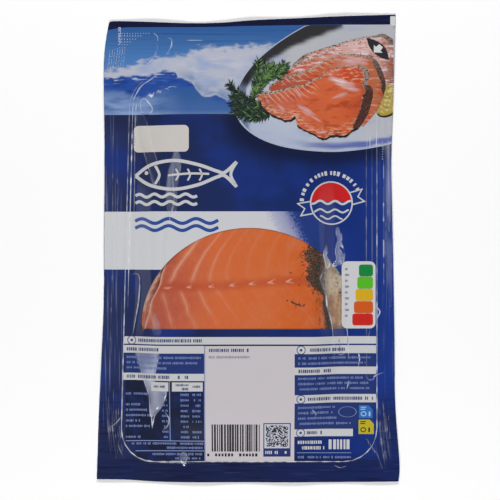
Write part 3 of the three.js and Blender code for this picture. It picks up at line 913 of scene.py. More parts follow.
def slab(name: str, flat: Flat, top: Array, bottom: Array, **values: Array) -> Piece:
    """A closed solid between two heights over a flat patch.

    Args:
        name: the piece's name.
        flat: the patch.
        top: each point's upper height in mm.
        bottom: each point's lower height in mm.
        values: what the finish reads at each point.
    Returns:
        the object.
    """
    count = len(flat.points)
    corners = np.vstack([stacked(flat.points, top), stacked(flat.points, bottom)])
    edges = stacked(flat.faces.ravel(), np.roll(flat.faces, -1, axis=1).ravel())
    there, back = edges[:, 0] * count + edges[:, 1], edges[:, 1] * count + edges[:, 0]
    rim = edges[~np.isin(there, back)]
    walls = stacked(rim[:, 1], rim[:, 0], rim[:, 0] + count, rim[:, 1] + count)
    faces = flat.faces.tolist() + (flat.faces[:, ::-1] + count).tolist() + walls.tolist()
    piece = new_object(name, corners, faces)
    for label, numbers in values.items():
        attribute = piece.data.attributes.new(label, "FLOAT", "POINT")
        attribute.data.foreach_set("value", np.tile(np.asarray(numbers, np.float32), 2))
    return piece


def dressed(piece: Piece, finish: Any, slot: str, *nodes: str) -> Piece:
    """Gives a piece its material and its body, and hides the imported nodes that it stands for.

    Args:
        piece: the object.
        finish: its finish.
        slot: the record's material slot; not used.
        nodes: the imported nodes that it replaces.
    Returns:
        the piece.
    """
    piece.data.materials.clear()
    piece.data.materials.append(material_of(finish))
    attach(piece, BODY)
    if nodes:
        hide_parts(*nodes)
    LOG.info("%s: %d faces, %s", piece.name, len(piece.data.polygons), finish.name)
    return piece


def ink(name: str, shapes: Any, lift: float, finish: Finish, step: float = 0.6, **values: Array) -> Piece:
    """Lays one field of ink on the top film.

    Args:
        name: the piece's name.
        shapes: a patch, an outline to cut, or a list of both.
        lift: its height above the film in mm.
        finish: its finish.
        step: spacing of the points along outlines that are cut.
        values: what the finish reads at each point.
    Returns:
        the piece.
    """
    shapes = shapes if isinstance(shapes, list) else [shapes]
    flat = joined([shape if isinstance(shape, Flat) else WEB.cut(shape, step=step) for shape in shapes])
    # Inks with the pale layer read the film's stress-white share with its painted glare.
    if WHITENED_AND_GLARE in finish.layers:
        values["whitening"] = FORM.whitening(*flat.points.T)
    top = FORM.film_top(*flat.points.T) + lift
    return dressed(slab(name, flat, top, top - INK_DEPTH, **values), finish, "printed_film")


# ---- Geometry Nodes ----
class NodeTool:
    """A Geometry Nodes tree that makes one repeated thing."""

    def __init__(self, name: str, **sockets: Any) -> None:
        """Starts the tree with its named inputs.

        Args:
            name: the tree's name.
            sockets: each input's default value, a whole number, a length or None for the material.
        """
        self.tree = bpy.data.node_groups.new(name, "GeometryNodeTree")
        face = self.tree.interface
        face.new_socket("Geometry", in_out="INPUT", socket_type="NodeSocketGeometry")
        self.sockets: dict[str, tuple[str, type]] = {}
        kinds = {int: "NodeSocketInt", float: "NodeSocketFloat", type(None): "NodeSocketMaterial"}
        for label, default in sockets.items():
            socket = face.new_socket(label, in_out="INPUT", socket_type=kinds[type(default)])
            if default is not None:
                socket.default_value = default
            self.sockets[label] = (socket.identifier, type(default))
        face.new_socket("Geometry", in_out="OUTPUT", socket_type="NodeSocketGeometry")
        self.given = add(self.tree, "NodeGroupInput").outputs
        self.sink = add(self.tree, "NodeGroupOutput")

    def close(self, geometry: Socket) -> None:
        """Ends the tree: instances realized, material set."""
        real = add(self.tree, "RealizeInstances", geometry)
        dressing = add(self.tree, "SetMaterial", Geometry=real, Material=self.given["Material"])
        self.tree.links.new(dressing.outputs[0], self.sink.inputs[0])

    def corners(self, base: Flat | None, finish: Any, **values: Any) -> tuple[Array, list[list[int]]]:
        """Runs the tree on a flat patch.

        Args:
            base: the patch that it starts from, if any.
            finish: the finish that the tree sets.
            values: the inputs' values.
        Returns:
            the finished plain mesh's corners in mm and its faces.
        """
        start = bpy.data.meshes.new("start")
        if base is not None:
            raised = stacked(base.points, np.zeros(len(base.points)))
            start.from_pydata(raised.tolist(), [], base.faces.tolist())
        carrier = bpy.data.objects.new("carrier", start)
        bpy.context.scene.collection.objects.link(carrier)
        modifier = carrier.modifiers.new("make", "NODES")
        modifier.node_group = self.tree
        modifier[self.sockets["Material"][0]] = material_of(finish)
        for label, value in values.items():
            identifier, kind = self.sockets[label]
            modifier[identifier] = kind(value)
        carrier.update_tag()
        mesh = bpy.data.meshes.new_from_object(carrier.evaluated_get(bpy.context.evaluated_depsgraph_get()))
        carrier.modifiers.remove(modifier)
        bpy.data.objects.remove(carrier)
        points = np.zeros(len(mesh.vertices) * 3)
        mesh.vertices.foreach_get("co", points)
        faces = [list(face.vertices) for face in mesh.polygons]
        bpy.data.meshes.remove(mesh)
        return points.reshape(-1, 3), faces


@dataclass
class Strewn:
    """A piece gathered from the results of node trees, each laid on the top film."""

    name: str
    finish: Any
    slot: str = "printed_film"
    points: list[Array] = field(default_factory=list)
    faces: list[list[int]] = field(default_factory=list)

    def lay(self, tool: NodeTool, x: float, y: float, lift: float, base: Flat | None = None,
            **values: Any) -> None:
        """Adds one run of a tool.

        Args:
            tool: the node tree.
            x: the shift to the right.
            y: the shift upwards on the pack.
            lift: the height of the run's zero level above the film.
            base: the patch that the tree starts from, if any.
            values: the tree's inputs.
        """
        corners, faces = tool.corners(base, self.finish, **values)
        corners = corners + [x, y, lift]
        corners[:, 2] += FORM.film_top(corners[:, 0], corners[:, 1])
        self.take(corners, faces)

    def take(self, corners: Array, faces: list[list[int]]) -> None:
        """Adds ready corners in mm and their faces."""
        count = sum(len(part) for part in self.points)
        self.points.append(corners)
        self.faces += [[index + count for index in face] for face in faces]

    def finished(self, *nodes: str) -> Piece:
        """Makes the piece."""
        piece = new_object(self.name, np.vstack(self.points), self.faces, 35.0)
        return dressed(piece, self.finish, self.slot, *nodes)


def stroke_row_tool() -> NodeTool:
    """Rows of strokes of random width with random gaps, such as lines of small print or a bar code."""
    tool = NodeTool("stroke_row", Count=90, Length=30.0, Height=0.9, Least=0.4, Most=1.0, GapLeast=0.2,
        GapMost=0.3, Skip=0.15, Uneven=0.2, Seed=1, Material=None)
    tree, given = tool.tree, tool.given
    line = add(tree, "MeshLine", Count=given["Count"], Offset=(0.0, 0.0, 0.0))
    draws = []
    for number, (low, high) in enumerate(((given["Least"], given["Most"]), (given["GapLeast"],
            given["GapMost"]), (0.0, 1.0), (0.0, 1.0))):
        seed = add(tree, "Math", given["Seed"], 77.0 * number, operation="ADD")
        draw = add(tree, "RandomValue", data_type="FLOAT", Seed=seed, at={2: low, 3: high})
        draws.append(draw.outputs[1])
    width, gap, chance, tall = draws
    both = add(tree, "Math", width, gap, operation="ADD")
    run = add(tree, "AccumulateField", both, data_type="FLOAT").outputs["Trailing"]
    middle = add(tree, "Math", width, 0.5, run, operation="MULTIPLY_ADD")
    end = add(tree, "Math", run, width, operation="ADD")
    spot = add(tree, "CombineXYZ", middle)
    placed = add(tree, "SetPosition", Geometry=line, Position=spot)
    less = add(tree, "Math", tall, given["Uneven"], operation="MULTIPLY")
    share = add(tree, "Math", 1.0, less, operation="SUBTRACT")
    height = add(tree, "Math", given["Height"], share, operation="MULTIPLY")
    size = add(tree, "CombineXYZ", width, height, 1.0)
    fits = add(tree, "Math", end, given["Length"], operation="LESS_THAN")
    drawn = add(tree, "Math", chance, given["Skip"], operation="GREATER_THAN")
    kept = add(tree, "Math", fits, drawn, operation="MULTIPLY")
    bar = add(tree, "MeshCube", Size=(1.0, 1.0, 0.06), Vertices_X=2, Vertices_Y=6, Vertices_Z=2)
    bars = add(tree, "InstanceOnPoints", Points=placed, Selection=kept, Instance=bar, Scale=size)
    tool.close(bars.outputs[0])
    return tool


class Stamp(Enum):
    """What stands on each point of a dot grid."""

    SQUARE = "square"
    DOME = "dome"


def dot_grid_tool(stamp: Stamp) -> NodeTool:
    """A grid of small squares or domes, some of them left out at random."""
    tool = NodeTool("dot_grid_" + stamp.value, Columns=10, Rows=10, Width=10.0, Height=10.0, Size=0.5, Keep=1.0,
        Seed=1, Material=None)
    tree, given = tool.tree, tool.given
    grid = add(tree, "MeshGrid", Size_X=given["Width"], Size_Y=given["Height"], Vertices_X=given["Columns"],
        Vertices_Y=given["Rows"])
    kept = add(tree, "RandomValue", data_type="BOOLEAN", Probability=given["Keep"], Seed=given["Seed"])
    if stamp is Stamp.SQUARE:
        unit = add(tree, "MeshCube", Size=(1.0, 1.0, 0.12))
    else:
        ball = add(tree, "MeshIcoSphere", Radius=0.5, Subdivisions=2)
        unit = add(tree, "Transform", Geometry=ball, Scale=(1.0, 1.0, 0.6))
    dots = add(tree, "InstanceOnPoints", Points=grid, Selection=kept.outputs[3], Instance=unit,
        Scale=given["Size"])
    tool.close(dots.outputs[0])
    return tool


def fleck_tool() -> NodeTool:
    """Chopped leaves and grains strewn over a bed, each lying flat and turned at random."""
    tool = NodeTool("herb_flecks", Density=1.0, Length=2.0, Width=0.3, Thickness=0.14, Seed=1, Material=None)
    tree, given = tool.tree, tool.given
    strewn = add(tree, "DistributePointsOnFaces", distribute_method="RANDOM", Mesh=given["Geometry"],
        Density=given["Density"], Seed=given["Seed"])
    bit = add(tree, "MeshIcoSphere", Radius=0.5, Subdivisions=1)
    shape = add(tree, "CombineXYZ", given["Length"], given["Width"], given["Thickness"])
    leaf = add(tree, "Transform", Geometry=bit, Scale=shape)
    turn = add(tree, "RandomValue", (0.0, 0.0, 0.0), (0.0, 0.0, 6.283), data_type="FLOAT_VECTOR",
        Seed=given["Seed"])
    angle = add(tree, "EulerToRotation", turn)
    grow = add(tree, "RandomValue", data_type="FLOAT", Seed=given["Seed"], at={2: 0.45, 3: 1.2})
    leaves = add(tree, "InstanceOnPoints", Points=strewn, Instance=leaf, Rotation=angle, Scale=grow.outputs[1])
    tool.close(leaves.outputs[0])
    return tool


# ---- The pack's own pieces ----
@dataclass
class BaseWeb:
    """The formed base film, which rests on the floor and carries the flange."""

    step: float = 2.2

    def build(self) -> None:
        """Makes and dresses the film."""
        columns, rows = round(WEB.width / self.step), round(WEB.length / self.step)
        flat = tile(0.0, 0.0, float(columns), float(rows), 1.0)
        flat.points = stacked(*WEB.point(flat.points[:, 0] / columns, flat.points[:, 1] / rows))
        under = FORM.base_under(*flat.points.T)
        film = slab("base_film_formed", flat, under + FORM.base_wall, under, whitening=np.zeros(len(under)))
        finish = ClearFilm("polyamide_film_milky", haze=0.34, tint="dfe3ea", roughness=0.18)
        dressed(film, finish, "base_film", "base_film")


@dataclass
class InsertBoard:
    """The tan food board that the slices lie on."""

    centre: Point = (1.0, -10.5)
    half: Point = (56.0, 91.0)
    corner: float = 9.0
    floor: float = 0.3
    thickness: float = 0.45

    def build(self) -> None:
        """Makes and dresses the board."""
        (cx, cy), (across, along) = self.centre, self.half
        flat = WEB.cut(rounded(cx - across, cy - along, cx + across, cy + along, self.corner), step=2.0)
        floor = self.floor + 0.04 * np.sin(flat.points[:, 0] / 19) * np.sin(flat.points[:, 1] / 31)
        board = slab("insert_board", flat, floor + self.thickness, floor, pale_part=ease(-34.0, -12.0,
            flat.points[:, 1]))
        dressed(board, FOOD_BOARD, "insert_card", "insert_card")


@dataclass
class FishSlices:
    """The salmon: a long upper slice on a lower one, both drawn tight under the film."""

    midline: float = -17.9
    midline_rise: float = 0.055
    flake_pitch: float = 10.2
    film_gap: float = 0.25
    floor: float = 0.9
    split: float = 3.3
    upper_edge: Line = ((-38, -92), (-48, -74), (-52.6, -56), (-53.5, -41.5), (-51.2, -33.6), (-49.5, -26.2),
        (-46.7, -21.1), (-45.4, -18.4), (-44.3, -13.3), (-42.7, -8.5), (-41.5, 2), (-40, 15), (-37.8, 24.8),
        (-38.5, 35), (-38, 44), (-36, 52), (-30, 66))
    right_edge: Line = ((30, -92), (38, -68), (42.2, -52), (42.4, -41.5), (41.4, -36), (39.4, -27), (38.2, -21),
        (38.2, -15), (39.6, -6), (40.6, 4), (39.6, 20), (38, 40), (30, 66))

    def top(self, x: Array, y: Array) -> Array:
        """The height of the fish under the film, sunk a little under the herbs."""
        lowest = np.minimum(FORM.film_top(x, y, folds=False), FORM.film_top(x, y))
        right = at_height(self.right_edge, y)
        return lowest - self.film_gap - 0.25 * ease(-10.0, 0.0, x - right)

    @staticmethod
    def seam_shift(start: Array, gap: Array) -> Array:
        """How far right a seam that leaves the midline at start has moved at a height from the midline."""
        along = ease(-42.0, -4.0, start)
        above = (0.36 - 0.7 * along**1.5) * gap + (0.012 + 0.012 * ease(-30.0, -6.0, start)) * gap**2
        below = -gap * (0.24 + 0.0146 * np.clip(start + 43.8, 0.0, 26.0)) + 0.002 * gap**2
        return np.where(gap > 0, above, below)

    def flesh_values(self, x: Array, y: Array) -> dict[str, Array]:
        """Works out where the flesh's seams, midline, knots and pale rim run.

        Args:
            x: their x.
            y: their y.
        Returns:
            the values that the flesh's finish reads.
        """
        gap = y - (self.midline + self.midline_rise * x + 0.25 * np.sin(x / 9))
        run = x
        for _ in range(14):
            run = 0.5 * (run + x - self.seam_shift(run, gap))
        run = np.where(gap > 0, run + 40.5, (run + 44.5) * self.flake_pitch / 9.0)
        strength = (1 - 0.9 * ease(-34.0, -2.0, x)) * ease(1.0, 4.0, np.abs(gap))
        strength = strength * (0.75 + 0.35 * wander(x, y, (5.0, 6.0), 31) + 0.02 * gap)
        knot = np.zeros(x.shape)
        for number, start in enumerate((-31.0, -20.0, -9.2, 0.6, 10.2, 19.4)):
            along = (x - start) / np.where(x > start, 2.2 + 0.35 * number, 0.7)
            arms = np.abs(gap + 0.25 - 0.1 * (x - start)) - 0.34 * np.clip(x - start, 0.0, 9.0)
            knot = np.maximum(knot, np.exp(-(along**2) - (arms / 0.5) ** 2))
        junction = np.exp(-(((x + 41.2) / 3.2) ** 2) - ((gap + 0.2) / 0.9) ** 2)
        # A thin pale line along the upper slice's left edge.
        edge = at_height(self.upper_edge, y)
        return {"flake_run": run, "midline_gap": np.abs(gap), "seam_strength": strength,
            "knot": np.maximum(knot, 0.72 * junction), "left_part": 1 - ease(-34.0, -12.0, x),
            "rim_pale_line": np.exp(-(((x - edge) / 0.8) ** 2))}

    def build(self) -> None:
        """Makes and dresses both slices."""
        heights = np.linspace(-0.97, 0.97, 84)
        left, _ = FORM.fish_point(np.full(84, -1.0), heights)
        right, y = FORM.fish_point(np.full(84, 0.86), heights)
        left = left + 0.3
        lower = self.sheet(left, right, y, 44)
        x, y = lower.points.T
        bare = ease(0.2, -0.9, x - at_height(self.upper_edge, y))
        roof = np.minimum(self.top(x, y) - 0.15, self.split + 4.0 * bare)
        window = TopWeb()
        (cx, cy), (across, along) = window.window_centre, window.window_half
        rim = (1.0 - np.hypot((x - cx) / across, (y - cy) / along)) * along
        # pale_end marks the painted glare of the creased film over the lower slice at the window's left tip.
        low = slab("salmon_slice_lower", lower, roof, np.full(len(roof), self.floor), pale_end=ease(2.0, 0.8,
            rim) * ease(-36.0, -28.0, y))
        dressed(low, SALMON_UNDER, "salmon_flesh")
        tall = np.concatenate([np.linspace(-90.0, -23.4, 56), np.linspace(-23.0, -13.0, 30), np.linspace(-12.0,
            65.0, 68)])
        first, last = at_height(self.upper_edge, tall), at_height(self.right_edge, tall)
        end = np.sqrt(np.clip(1 - ((tall + 12.5) / 78.2) ** 8, 0.02, 1))
        centre = (first + last) / 2
        upper = self.sheet(centre + (first - centre) * end, centre + (last - centre) * end, tall, 130)
        roof = self.top(*upper.points.T)
        values = self.flesh_values(*upper.points.T)
        main = slab("salmon_slice_upper", upper, roof, np.minimum(roof - 0.6, self.split + 0.05), **values)
        dressed(main, SALMON_FLESH, "salmon_flesh", "salmon")

    @staticmethod
    def sheet(left: Array, right: Array, heights: Array, columns: int) -> Flat:
        """A patch ruled between a left and a right edge.

        Args:
            left: the left edge's x for each height.
            right: the right edge's x for each height.
            heights: the rows' y.
            columns: the number of faces across.
        Returns:
            the patch.
        """
        flat = tile(0.0, 0.0, float(columns), float(len(heights) - 1), 1.0)
        column, row = flat.points[:, 0] / columns, np.rint(flat.points[:, 1]).astype(int)
        flat.points = stacked(left[row] + (right[row] - left[row]) * column, heights[row])
        return flat


@dataclass
class HerbCrust:
    """Chopped dill and spice pressed on the slices' right edge, with stray bits on the flesh."""

    course: tuple[tuple[float, float, float], ...] = (  # height, outer side, thickness
        (62, 31, 2.6), (40, 37.5, 3.2), (14, 40, 4), (4, 39.4, 8), (-1, 38.6, 8.4),
        (-6, 38.9, 9.2), (-14, 38.9, 9), (-17.5, 39, 7), (-21, 39.4, 4.8), (-24, 39.4, 1.2),
        (-28, 39.9, 1.8), (-34, 41.4, 2.6), (-42, 42.8, 3.2), (-60, 41, 3.2), (-80, 34, 2.2))
    strays: Line = ((15.6, -13.6), (21.6, -12.7), (18.2, -25.3), (30, -16), (26, -18.4), (32.8, -23),
        (28.4, -8), (29.6, -12), (35, -27))
    crumbs: Line = ((39.2, -11), (45.3, -17.4), (47.4, -13.6), (47.4, -22.8), (42.2, -27.8))
    twig: tuple[tuple[float, ...], ...] = ((21.4, -26.9, 24, -28.4, 0.8), (23.4, -27.9, 27.4, -29.6, 0.5),
        (27.2, -29.6, 29.2, -28.3, 0.4), (24.4, -28, 24, -30.4, 0.4), (26.6, -29.2, 25.4, -27.4, 0.3),
        (19.4, -26.6, 20.2, -26.4, 0.7))
    seed: int = 11

    def build(self) -> None:
        """Makes and dresses the crust."""
        tool = fleck_tool()
        heights, outer, thick = np.array(self.course).T
        y = np.linspace(60.0, -78.0, 150)
        right, width = [np.interp(y, heights[::-1], column[::-1]) for column in (outer, thick)]
        width = width * (1 + 0.2 * wander(y, y, (2.6, 2.6), 6))
        inner = stacked(right - width, y)
        bed = WEB.cut(np.vstack([inner, stacked(right, y)[::-1]]), step=0.8)
        fringe = WEB.cut(np.vstack([inner - [3.6, 0.0], (inner + [0.4 * width.min(), 0.0])[::-1]]), step=0.8)
        leaves = Strewn("herb_crust_dill", DILL_LEAF, "herbs")
        grains = Strewn("herb_crust_spice", SPICE_GRAIN, "herbs")
        strays = joined([tile(x - 0.7, y0 - 0.5, x + 0.8, y0 + 0.6) for x, y0 in self.strays])
        crumbs = joined([tile(x - 0.7, y0 - 1.1, x + 0.7, y0 + 1.1) for x, y0 in self.crumbs])
        for number, (piece, base, sunk, density, length, breadth) in enumerate(((leaves, bed, 0.17, 1.9, 2.2,
                0.3), (leaves, bed, 0.19, 2.8, 1.0, 0.5), (leaves, fringe, 0.17, 0.26, 1.3, 0.25),
                (grains, strays, 0.17, 1.2, 0.9, 0.4), (grains, bed, 0.17, 0.8, 0.9, 0.55), (grains, fringe,
                0.17, 0.3, 0.8, 0.4), (grains, crumbs, 0.17, 1.5, 1.3, 0.9))):
            seed = self.seed + number + 2 * (piece is grains)
            piece.lay(tool, 0, 0, -sunk, base, Density=density, Length=length, Width=breadth, Seed=seed)
        for x0, y0, x1, y1, breadth in self.twig:
            leaves.take(*self.needle((x0, y0), (x1, y1), breadth))
        leaves.finished("herb_crust")
        grains.finished()

    @staticmethod
    def needle(start: Point, end: Point, breadth: float) -> tuple[Array, list[list[int]]]:
        """One closed, pointed leaf between two points, just under the film.

        Args:
            start: its first end.
            end: its other end.
            breadth: its width in the middle.
        Returns:
            its corners in mm and its faces.
        """
        line = np.linspace(start, end, 5)
        ahead = np.subtract(end, start) / math.dist(start, end)
        bulge = breadth / 2 * np.array([0.25, 0.85, 1.0, 0.7, 0.1])[:, None] * np.array([[-ahead[1], ahead[0]]])
        plan = np.vstack([line - bulge, (line + bulge)[::-1]])
        roof = FORM.film_top(*plan.T)
        corners = np.vstack([stacked(plan, roof - 0.1), stacked(plan, roof - 0.4)])
        ring = list(range(len(plan)))
        faces = [ring, [index + len(plan) for index in ring[::-1]]]
        faces += [[b, a, a + len(plan), b + len(plan)] for a, b in zip(ring, ring[1:] + ring[:1])]
        return corners, faces


@dataclass
class TopWeb:
    """The top film: printed all over but for the clear half-oval in front of the fish."""

    window_centre: Point = (0.5, -41.2)
    window_half: Point = (55.6, 51.7)
    wall: float = 0.09

    def window(self) -> Array:
        """Outline of the clear half-oval."""
        return ellipse(self.window_centre, self.window_half, 0.0, 0.0, 180.0, 120)

    def build(self) -> None:
        """Makes and dresses the printed film and its clear part."""
        window = closed_evenly(self.window(), WEB.fine)
        loose = WEB.lattice
        near = np.abs(depth_in(window, *loose.T)) > WEB.margin
        whole = triangulated(loose[near], [WEB.outline, window], [])
        seen = inside(window, *whole.points[whole.faces].mean(axis=1).T)
        pieces = (("top_film_printed", ~seen, NAVY_WEB, "printed_film", "top_film"), ("top_film_window", seen,
            ClearFilm(), "clear_film", "window_film"))
        for name, chosen, finish, slot, node in pieces:
            used, renamed = np.unique(whole.faces[chosen], return_inverse=True)
            flat = Flat(whole.points[used], renamed.reshape(-1, 3))
            x, y = flat.points.T
            top = FORM.film_top(x, y)
            out = FORM.outside_pocket(x, y)
            below = depth_in(ServingPlate().ring(1.0), x, y)
            # foot marks where the web carries painted shade, painted wrinkle shade and painted glints; drawn
            # marks the draw lines' pale streaks, partly painted sheen.
            film = slab(name, flat, top, top - self.wall, whitening=FORM.whitening(x, y),
                plate_shade=np.maximum(np.exp(-((below / 8.5) ** 2)) * ease(85.0, 60.0, y), 0.45 * ease(52.0,
                66.0, y) * ease(10.0, -30.0, x)), low_left=ease(10.0, -60.0, x) * ease(-20.0, -60.0,
                y) * 0.7 + 0.3, foot=np.maximum(ease(-104.0, -110.5, y), 0.8 * ease(62.0, 70.0,
                np.abs(x)) * ease(-60.0, -92.0, y)), drawn=ease(0.5, 3.0, out) * ease(108.0, 90.0,
                np.abs(y)) * (1 - 0.6 * ease(0.0, 9.0, x) * ease(10.0, -50.0, y)))
            dressed(film, finish, slot, node)


@dataclass
class CreaseLines:
    """Thin pale lines along the film's creases, round its puckers and along the pocket's rim: film turned white
    by stress, with painted highlights where the lights would glint on the crests.

    They are drawn wider than real ones, which are too fine to show.
    """

    width: float = 0.68
    lift: float = 0.07
    step: float = 0.45
    finish: ClearFilm = ClearFilm("film_stress_white_and_glare", haze=0.0, crease_haze_and_glare=1.0, tint="e4e8f4")

    def strip(self, line: Array, white: float, broken: float) -> list[tuple[Flat, Array]]:
        """A narrow strip along a line, cut into dashes where it is broken.

        Args:
            line: the line's points.
            white: its whiteness in the middle.
            broken: the share by which it fades in its breaks.
        Returns:
            for each dash its patch and the whiteness of its points.
        """
        length = np.hypot(*np.diff(line, axis=0).T).sum()
        line = evenly(line, max(int(length / self.step), 3) + 1)
        run = np.linspace(0.03, 0.97, len(line))
        strength = np.sqrt(np.sin(np.pi * run)) * (0.75 + 0.35 * wander(*line.T, (2.3, 2.9), 21))
        strength *= 1 - broken * ease(-0.3, 0.2, wander(*line.T, (1.7, 3.1), 22))
        outline = ribbon(line, self.width * np.clip(strength, 0.25, 1.0))
        right, left = outline[: len(line)], outline[len(line) :][::-1]
        dashes = []
        for kept in np.split(np.arange(len(line)), np.flatnonzero(strength < 0.15)):
            if len(kept) < 3:
                continue
            count = len(kept)
            first = np.arange(count - 1)
            faces = stacked(first, first + 1, first + 1 + count, first + count)
            dashes.append((Flat(np.vstack([right[kept], left[kept]]), faces), white * np.tile(strength[kept],
                2)))
        return dashes

    def rims(self) -> list[tuple[Array, float, float]]:
        """Painted highlight lines along the pocket's rim bead: two on the left side, one round the foot and up
        the right side.
        """
        (cx, cy), (across, along) = FORM.pocket_centre, FORM.pocket_half
        lines = []
        for shift, white, low, high in ((0.0, 0.8, -300.0, 86.0), (1.7, 0.84, -30.0, 84.0), (3.3, 0.5, 48.0,
                79.0)):
            loop = rounded(cx - across + shift, cy - along, cx + across, cy + along, FORM.pocket_corner)
            path = evenly(np.vstack([loop[7:], loop[:7]]), 900)
            path[:, 0] += FORM.bead_lean * path[:, 1] * ease(0.0, 40.0, cx - path[:, 0])
            side = (path[:, 1] > low) & (path[:, 1] < high)
            if shift:
                side &= path[:, 0] < -50.0
            lines.append((path[side], white, 0.12))
        return lines

    def build(self) -> None:
        """Makes and dresses the lines."""
        dashes = [dash for relief in RELIEFS for dash in self.strip(*relief.line())]
        dashes += [dash for rim in self.rims() for dash in self.strip(*rim)]
        flat = joined([patch for patch, _ in dashes])
        top = FORM.film_top(*flat.points.T) + self.lift
        whiteness = np.clip(np.concatenate([white for _, white in dashes]), 0, 1)
        dressed(slab("film_crease_lines", flat, top, top - INK_DEPTH, whitening=whiteness), self.finish,
            "clear_film")


@dataclass
class SealKnurl:
    """The dotted marks that the seal tool leaves in the film, drawn larger than real ones so that they show."""

    finish: Finish = Finish("film_knurl_pale", "a3b4d6", roughness=0.2)
    seed: int = 5
    grids: tuple[tuple[float, ...], ...] = (  # columns, rows, width, height, size, share kept, middle
        (3, 12, 0.9, 8.6, 0.62, 0.85, -66.4, 109.3), (11, 2, 14, 0.05, 0.5, 0.95, -58.2, 110.6),
        (8, 2, 9.8, 0.05, 0.6, 1, -60.3, 109.3), (6, 2, 7, 0.05, 0.6, 1, -61.7, 107.7),
        (4, 2, 4.2, 0.05, 0.6, 1, -63.1, 106.3), (3, 2, 2.8, 0.05, 0.5, 0.9, -63.8, 104.8),
        (2, 8, 0.05, 8.8, 0.5, 1, 68.8, 50.4), (2, 9, 0.05, 8.8, 0.4, 0.7, 71.6, 51),
        (2, 20, 0.05, 16, 0.3, 0.5, 70.6, 5))
    slanted_columns: int = 7

    def build(self) -> None:
        """Makes and dresses the dots."""
        tool = dot_grid_tool(Stamp.DOME)
        dots = Strewn("seal_knurl_dots", self.finish)
        slanted = [(2, 6, 0.05, 3.0, 0.42, 0.7, -63.6 - 1.3 * column - 0.4 * run,
            102.4 - 0.35 * column - 3.6 * run) for column in range(self.slanted_columns) for run in range(3)]
        for number, (columns, rows, width, height, size, keep, x, y) in enumerate(self.grids + tuple(slanted)):
            dots.lay(tool, x, y, 0.12, Columns=columns, Rows=rows, Width=width, Height=height, Size=size,
                Keep=keep, Seed=self.seed + number)
        dots.finished()


